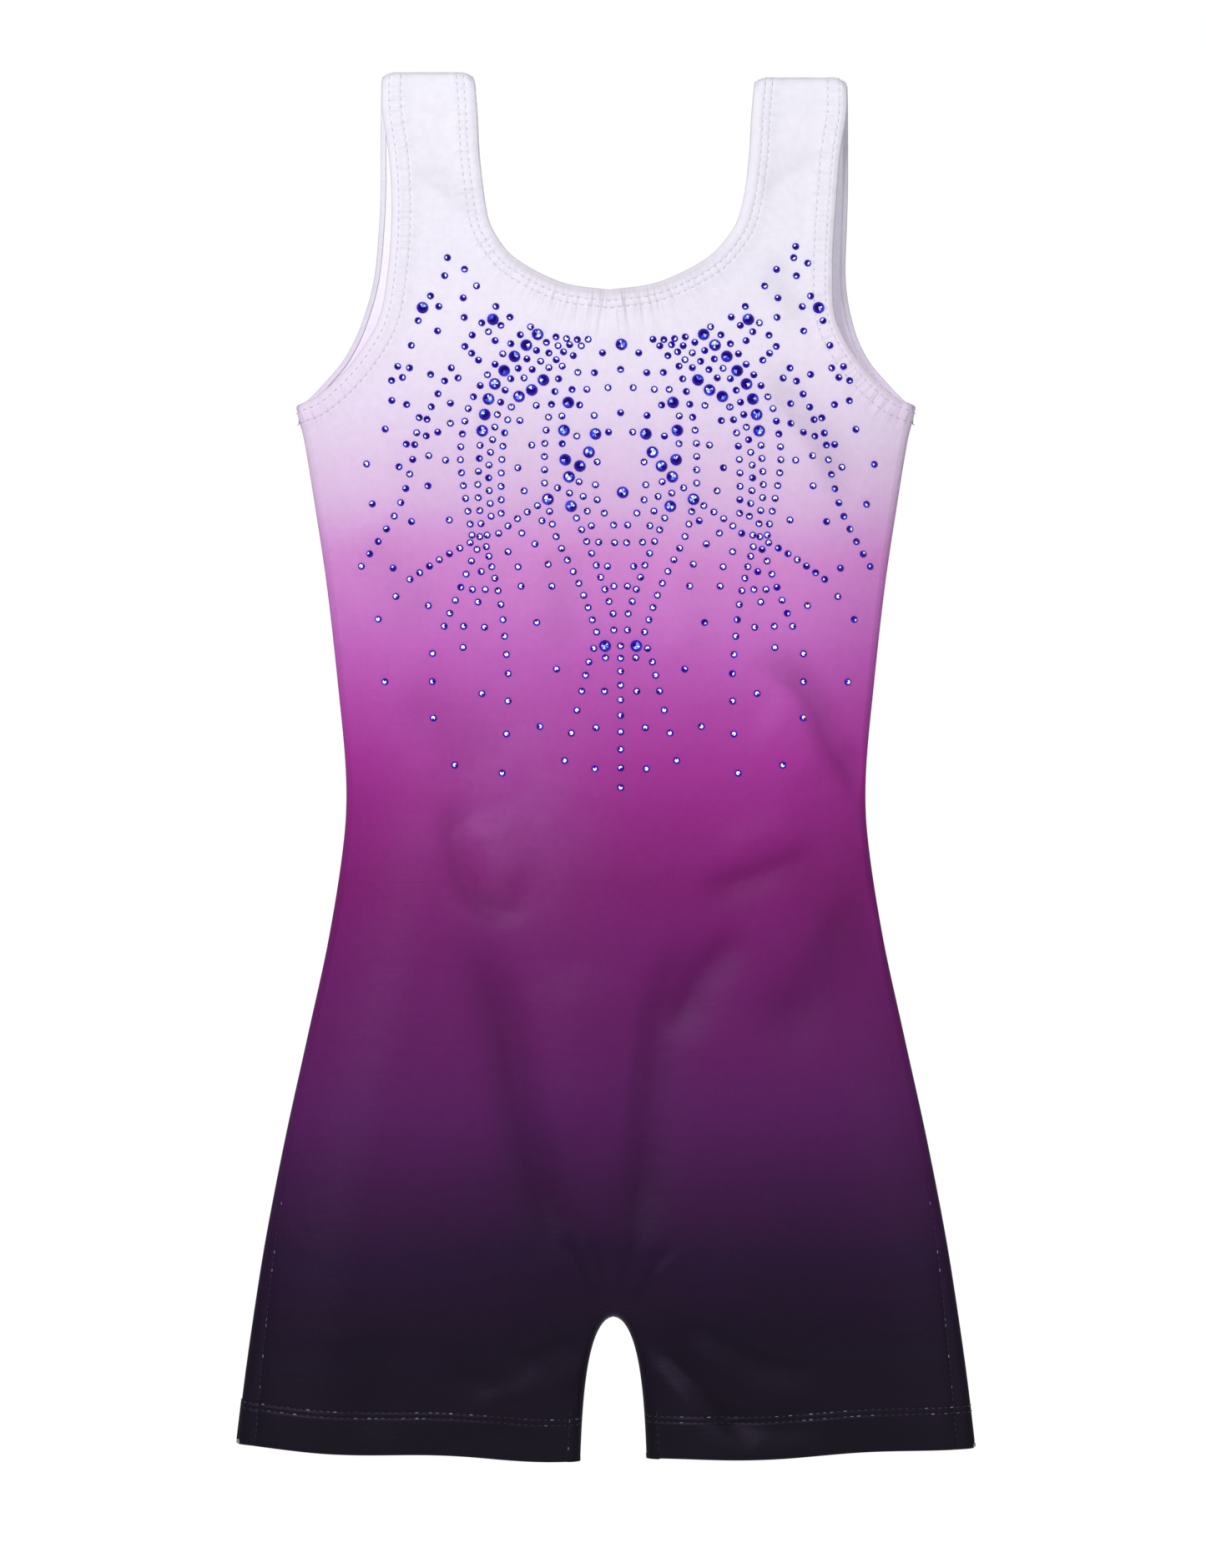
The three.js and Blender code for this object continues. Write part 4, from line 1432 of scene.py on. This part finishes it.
@dataclass(frozen=True)
class Thread:
    """Sewing thread: pale at the top, near the cloth's colour below, with stray pale stitches.

    Attributes:
        finish: Its uniform values.
        pale_from: Shade from which a stitch starts to be pale.
        ply: Length of one twist of the thread, in metres.
    """

    finish: Finish = Finish("sewing_thread", roughness=0.55, sheen=0.1, specular=0.4)
    pale_from: float = 0.72
    ply: float = 0.0004

    def build(self, shared: dict[str, bpy.types.NodeTree]) -> bpy.types.Material:
        """Makes the material."""
        material, nodes, shader, place = self.finish.start()
        ink = nodes.add("ShaderNodeGroup", {"Place": place}, node_tree=shared["print"]).outputs[0]
        limits = {0: nodes.mark("shade"), 1: self.pale_from, 2: 1.0, 3: 0.0, 4: 0.55}
        pale = nodes.add("ShaderNodeMapRange", limits).outputs[0]
        nodes.link(nodes.mix(pale, nodes.mix(0.1, ink, "3b3560"), "c9cdf0"), shader, "Base Color")
        part = nodes.add("ShaderNodeSeparateXYZ", {0: place})
        twist = nodes.wave(nodes.math("ADD", part.outputs["X"], part.outputs["Z"]), self.ply)
        self.finish.bump(nodes, shader, nodes.math("MULTIPLY", twist, 0.03))
        return material


@dataclass(frozen=True)
class Glass:
    """Foiled sapphire glass: each facet is painted dark or bright as reflections of the light, with a thin
    drift of tone within it.

    Attributes:
        finish: Its uniform values.
        glow: Strength of the painted glow that stands in for the light its foil sends back: the facets give
            off their own tone as light.
    """

    finish: Finish = Finish("crystal", roughness=0.1, specular=0.14)
    glow: float = 0.18

    def build(self) -> bpy.types.Material:
        """Makes the material."""
        material, nodes, shader, place = self.finish.start()
        drift = nodes.math("MULTIPLY_ADD", nodes.noise(place, 900.0, 1.0), 0.2, -0.1)
        level = nodes.math("ADD", nodes.mark("painted_facet_light"), drift)
        # From navy to white by the painted reflection of each facet; the same tone is also given off as a
        # painted glow.
        tone = nodes.ramp(level, ((0.0, "17055e"), (0.2, "2c0eac"), (0.4, "3b36da"), (0.6, "5f86ee"),
                                  (0.78, "c3d6fd"), (0.93, "ffffff")))
        nodes.link(tone, shader, "Base Color")
        nodes.link(tone, shader, "Emission Color")
        shader.inputs["Emission Strength"].default_value = self.glow
        return material


# ---- Sub-assemblies ----


@dataclass
class Garment:
    """All cloth of the leotard: panels, casings, elastics, hems, seams and gusset.

    Attributes:
        shared: The node groups that the finishes share.
        casing_sink: How far inside the outer surface a casing lies.
        casing_far: Width of a casing.
        hem_far: Depth of a turned-up hem.
        allowance: Half width of a seam allowance.
        neck_rows: Distances of the two rows of stitches from the neck's edge.
        arm_rows: The same for an armhole.
        hem_rows: The same for a hem.
        stitches_from: Height below which stitches show in the side seam.
    """

    shared: dict[str, bpy.types.NodeTree]
    casing_sink: float = 1.3
    casing_far: float = 7.9
    hem_far: float = 18.0
    allowance: float = 2.4
    neck_rows: tuple[float, float] = (4.6, 7.4)
    arm_rows: tuple[float, float] = (3.0, 7.7)
    hem_rows: tuple[float, float] = (14.7, 17.0)
    stitches_from: float = -448.0

    def build(self) -> None:
        knits = Knits()
        printed = knits.cloth(knits.printed, self.shared, sewn=True)
        reverse = knits.cloth(knits.reverse, self.shared, pale=0.3)
        turned = knits.cloth(knits.turned, self.shared)
        braid = PlainCloth(Finish("elastic", roughness=0.85, specular=0.2), "e4e2e8", "f6f5f8", 1.4).build()
        edging = knits.cloth(Finish("seam_thread", roughness=0.8, specular=0.2), self.shared, pale=0.35)
        lining = PlainCloth(Finish("lining", roughness=0.8, specular=0.2), "ebe6f0", "f8f5fb", 0.8).build()
        thread = Thread().build(self.shared)
        panels = {}
        for face, name in ((Face.FRONT, "front_panel"), (Face.BACK, "back_panel")):
            panel = Panel(face)
            piece = panel.build(f"{name}_knit", printed)
            piece.data.materials.append(reverse)
            piece.modifiers["thickness"].material_offset = 1
            finish_piece(piece, "printed_knit", name)
            panels[face] = (panel, piece)
        edges = {"neckline": neck_ring(), **{f"{side.word}_armhole": arm_ring(side) for side in Side}}
        goes_with: dict[Face, list[bpy.types.Object]] = {Face.FRONT: [], Face.BACK: []}
        for name, band in edges.items():
            elastic = band.solid(f"{name}_elastic_braid", 2.3, 7.0, 0.8, 0.4, 6, braid)
            casing = band.solid(
                f"{name}_turned_casing", 2.2, self.casing_far, self.casing_sink, 0.5, 7, turned
            )
            rows = self.neck_rows if name == "neckline" else self.arm_rows
            goes_with[Face.FRONT] += [
                finish_piece(elastic, "elastic", f"{name}_elastic"),
                finish_piece(casing, "casing_knit", f"{name}_casing"),
                self.edge_stitches(name, band, rows, thread),
            ]
        for side in Side:
            band = leg_ring(side)
            hem = band.solid(f"{side.word}_leg_turned_hem", 1.9, self.hem_far, 0.8, 0.7, 10, turned)
            finish_piece(hem, "hem_knit", f"{side.word}_leg_hem")
            goes_with[Face.BACK] += [hem, self.hem_stitches(side.word, band, thread)]
            goes_with[Face.FRONT].append(self.side_seam(side, edging))
            lines = [self.side_line(side, self.stitches_from, FORM.hem_outer + 2)]
            stitches = self.seam_stitches(f"{side.word}_side", lines, thread, Seed.SIDE_SEAMS)
            goes_with[Face.FRONT].append(stitches)
            goes_with[Face.BACK].append(self.shoulder_seam(side, edging))
        goes_with[Face.FRONT].append(self.inseam(edging))
        stitches = self.seam_stitches("inner_leg", self.inseam_ends(), thread, Seed.INNER_SEAMS)
        goes_with[Face.FRONT] += [stitches, self.gusset(lining)]
        for face, (panel, piece) in panels.items():
            loop = np.vstack([part.line for part in panel.outline()])

    def edge_stitches(self, name: str, band: Band, rows: tuple[float, float],
                      thread: bpy.types.Material) -> bpy.types.Object:
        """Two rows of stitches outside along a casing, and the zigzag that shows inside."""
        points, normal = band.sheet(np.array([rows[0] - 0.4, rows[0], rows[1], rows[1] + 0.4]), 0.1)
        inside_rows = np.array([rows[1] - 1.9, rows[1] - 0.4, rows[1] + 0.2])
        within, inward = band.sheet(inside_rows, self.casing_sink + 0.5)
        stitch = Stitching()
        made = [stitch.row(points[:, k], normal[:, k], True) for k in (1, 2)]
        steps = int(len(within) / 1.6) // 2
        line, turn = (zigzag(sheet[:, 0], sheet[:, 1], steps) for sheet in (within, -inward))
        made.append(Stitching(pitch=1.7, length=1.7, radius=0.17).row(line, turn, True))
        return finish_piece(stitch.build(f"{name}_stitches", made, thread, Seed.EDGES), "seam_thread")

    def hem_stitches(self, name: str, band: Band, thread: bpy.types.Material) -> bpy.types.Object:
        """Two rows of stitches round a hem."""
        inner, outer = self.hem_rows
        points, normal = band.sheet(np.array([inner - 0.5, inner, outer, outer + 0.5]), 0.1)
        stitch = Stitching(pitch=2.7, length=1.9, radius=0.2)
        made = [stitch.row(points[:, k], normal[:, k], True) for k in (1, 2)]
        return finish_piece(stitch.build(f"{name}_hem_stitches", made, thread, Seed.HEMS), "seam_thread")

    def seam_stitches(self, name: str, lines: list[Array], thread: bpy.types.Material,
                      seed: Seed) -> bpy.types.Object:
        """The short stitches that show along a seam's lines on the front."""
        stitch = Stitching(pitch=2.4, length=1.5, radius=0.17)
        made = []
        for line in lines:
            points, normal = self.strip(line).sheet(np.array([-0.3, 0.0, 0.3]), -0.02)
            made.append(stitch.row(points[:, 1], normal[:, 1], False))
        return finish_piece(stitch.build(f"{name}_seam_stitches", made, thread, seed), "seam_thread")

    def strip(self, line: Array) -> Band:
        """An open band along a line on the front."""
        return Band(line, sideways(line), np.zeros(len(line), bool), closed=False)

    def side_line(self, side: Side, top: float, low: float) -> Array:
        """The side seam's line between two heights."""
        line = FORM.side_seam(side)
        return resample(line[(line[:, 1] < top) & (line[:, 1] > low)], 2.0)

    def side_seam(self, side: Side, material: bpy.types.Material) -> bpy.types.Object:
        """The overlocked allowance inside a side seam, lying towards the front."""
        band = self.strip(self.side_line(side, FORM.underarm - 9, FORM.hem_outer + self.hem_far + 1))
        near, far = sorted((-0.6 * side.value, -2 * self.allowance * side.value))
        piece = band.solid(f"{side.word}_side_seam_allowance", near, far, 0.85, 0.9, 5, material)
        return finish_piece(piece, "seam_thread", f"{side.word}_side_seam")

    def inseam_line(self, grow: float, low: float) -> Array:
        """The inner leg seam's line, both legs, down to a height above the hem."""
        line = FORM.split_line(FORM.split_seam + grow)
        return resample(line[line[:, 1] > low], 1.5)

    def inseam_ends(self) -> list[Array]:
        """The lowest stretch of the inner leg seam on each leg."""
        line = self.inseam_line(0.0, FORM.hem_inner + 3)
        low = line[:, 1] < FORM.hem_inner + 21
        right = line[:, 0] > FORM.split_x
        return [line[low & right], line[low & ~right]]

    def inseam(self, material: bpy.types.Material) -> bpy.types.Object:
        """The allowance inside the inner leg seams, over the top of the split."""
        band = self.strip(self.inseam_line(0.6, FORM.hem_inner + self.hem_far + 2))
        piece = band.solid("inner_leg_seam_allowance", 0.0, 4.2, 0.85, 0.9, 5, material)
        return finish_piece(piece, "seam_thread", "inseam")

    def shoulder_seam(self, side: Side, material: bpy.types.Material) -> bpy.types.Object:
        """The allowance under a strap's fold: it bends over from the front to the back."""
        x = FORM.lean(0) + side.value * np.linspace(65.5, 83.2, 12)
        down = np.array([4.5, 3.2, 2.0, 1.1, 0.5, 0.1])
        front = [FORM.surface(x, FORM.strap_top(x) - d, Face.FRONT) for d in down]
        back = [FORM.surface(x, FORM.strap_top(x) - d, Face.BACK) for d in down[::-1]]
        outer = np.array(front + back)
        normal = unit(np.cross(np.gradient(outer, axis=0), np.gradient(outer, axis=1)))
        normal *= -np.sign(normal[0, 0, 1])
        shell = strip_shell(outer - 0.85 * normal, outer - 1.75 * normal, False)
        piece = make_closed(f"{side.word}_shoulder_allowance", *shell, material)
        return finish_piece(piece, "seam_thread", f"{side.word}_shoulder_seam")

    def gusset(self, material: bpy.types.Material) -> bpy.types.Object:
        """The lining patch between the legs: a kite inside the front and a longer one inside the back."""
        parts, faces, at = [], [], 0
        for face, rise in ((Face.FRONT, 62), (Face.BACK, 74)):
            grid = np.meshgrid(np.linspace(0, 1, 30), np.linspace(-1, 1, 21), indexing="ij")
            s, c = (part.ravel() for part in grid)
            half = np.interp(s, [0, 0.9, 1], [13, 30, 14])
            x = FORM.split_x + half * c
            edge = FORM.split_line(8.0)
            edge = edge[edge[:, 0] >= FORM.split_x]
            low = np.interp(np.abs(x - FORM.split_x), edge[:, 0] - FORM.split_x, edge[:, 1])
            low = np.maximum(low, FORM.split_z - 15)
            z = low + (FORM.split_z + rise - low) * (1 - s)
            outer, inner = (FORM.surface(x, z, face, sink).reshape(30, 21, 3) for sink in (2.6, 3.1))
            points, shell = strip_shell(outer, inner, False)
            parts.append(points)
            faces += [at + (part if face is Face.FRONT else part[:, ::-1]) for part in shell]
            at += len(points)
        piece = make_closed("gusset_lining", np.vstack(parts), faces, material)
        return finish_piece(piece, "lining", "crotch_gusset")


@dataclass(frozen=True)
class Decoration:
    """The crystals.

    Attributes:
        motif: Their places.
    """

    motif: Motif = Motif()

    def build(self) -> None:
        """Sets large and small crystals."""
        glass = Glass().build()
        names = [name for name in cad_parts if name.startswith("crystal_")]
        large = LARGE.build("large_crystals", self.motif.large_places(), glass, Seed.LARGE_CRYSTALS)
        finish_piece(large, "crystal", *names)
        small = SMALL.build("small_crystals", self.motif.small_places(), glass, Seed.SMALL_CRYSTALS)
        finish_piece(small, "crystal")


@dataclass(frozen=True)
class Studio:
    """White surroundings, soft lights, a pale floor well below the garment, and the camera.

    Attributes:
        distance: Distance of the camera in front of the garment, in metres.
        lens: Its focal length, in millimetres.
        aim: x and z it looks at, in metres.
        around: Strength of the light from all round.
        lamps: Name, place, size and power of each light.
        floor: Radius and height of the floor.
    """

    distance: float = 2.0
    lens: float = 115.0
    aim: tuple[float, float] = (-0.00117, -0.2838)
    around: float = 0.24
    lamps: tuple[tuple[str, tuple[float, float, float], float, float], ...] = (
        ("key", (-0.9, -2.0, 0.6), 0.7, 37),
        ("fill", (1.5, -1.7, -0.2), 1.2, 8),
        ("behind", (0.5, 2.0, 0.5), 1.2, 36),
    )
    floor: tuple[float, float] = (0.7, -0.82)

    def light(self, name: str, place: tuple[float, float, float], size: float, power: float) -> None:
        """Adds a square soft light that points at the garment."""
        data = bpy.data.lights.new(name, "AREA")
        data.size, data.energy = size, power
        lamp = bpy.data.objects.new(name, data)
        lamp.location = place
        lamp.rotation_euler = (Vector((0, 0, -0.28)) - Vector(place)).to_track_quat("-Z", "Y").to_euler()
        bpy.context.scene.collection.objects.link(lamp)

    def build(self) -> None:
        """Makes the surroundings, the floor, the lights and the camera."""
        scene = bpy.context.scene
        world = bpy.data.worlds.new("white studio")
        world.use_nodes = True
        scene.world = world
        nodes = Nodes(world.node_tree)
        soft = world.node_tree.nodes["Background"]
        soft.inputs[0].default_value = (1, 1, 1, 1)
        soft.inputs[1].default_value = self.around
        clear = nodes.add("ShaderNodeBackground", {0: (1, 1, 1, 1), 1: 1.0})
        seen = nodes.add("ShaderNodeLightPath").outputs["Is Camera Ray"]
        mixed = nodes.add("ShaderNodeMixShader", {0: seen, 1: soft.outputs[0], 2: clear.outputs[0]})
        nodes.link(mixed.outputs[0], world.node_tree.nodes["World Output"], 0)
        radius, height = self.floor
        place = (0, 0, height)
        bpy.ops.mesh.primitive_circle_add(vertices=96, radius=radius, fill_type="NGON", location=place)
        floor = bpy.context.object
        floor.name = "studio_floor"
        paint = bpy.data.materials.new("floor paint")
        paint.use_nodes = True
        shader = paint.node_tree.nodes["Principled BSDF"]
        shader.inputs["Base Color"].default_value = (0.85, 0.85, 0.86, 1)
        shader.inputs["Roughness"].default_value = 0.9
        floor.data.materials.append(paint)
        for lamp in self.lamps:
            self.light(*lamp)
        data = bpy.data.cameras.new("camera")
        data.lens, data.sensor_width, data.clip_end = self.lens, 36.0, 20.0
        camera = bpy.data.objects.new("camera", data)
        camera.location = (self.aim[0], -self.distance, self.aim[1])
        camera.rotation_euler = (math.pi / 2, 0, 0)
        scene.collection.objects.link(camera)
        scene.camera = camera
        scene.view_settings.view_transform = "Standard"


def main() -> None:
    """Builds the garment, its crystals and the studio, in that order."""
    logging.basicConfig(level=logging.INFO, format="%(message)s")
    shared = {"print": print_group(), "knit": knit_group(), "sewn": sewn_group()}
    Garment(shared).build()
    Decoration().build()
    Studio().build()


if __name__ == "__main__":
    main()
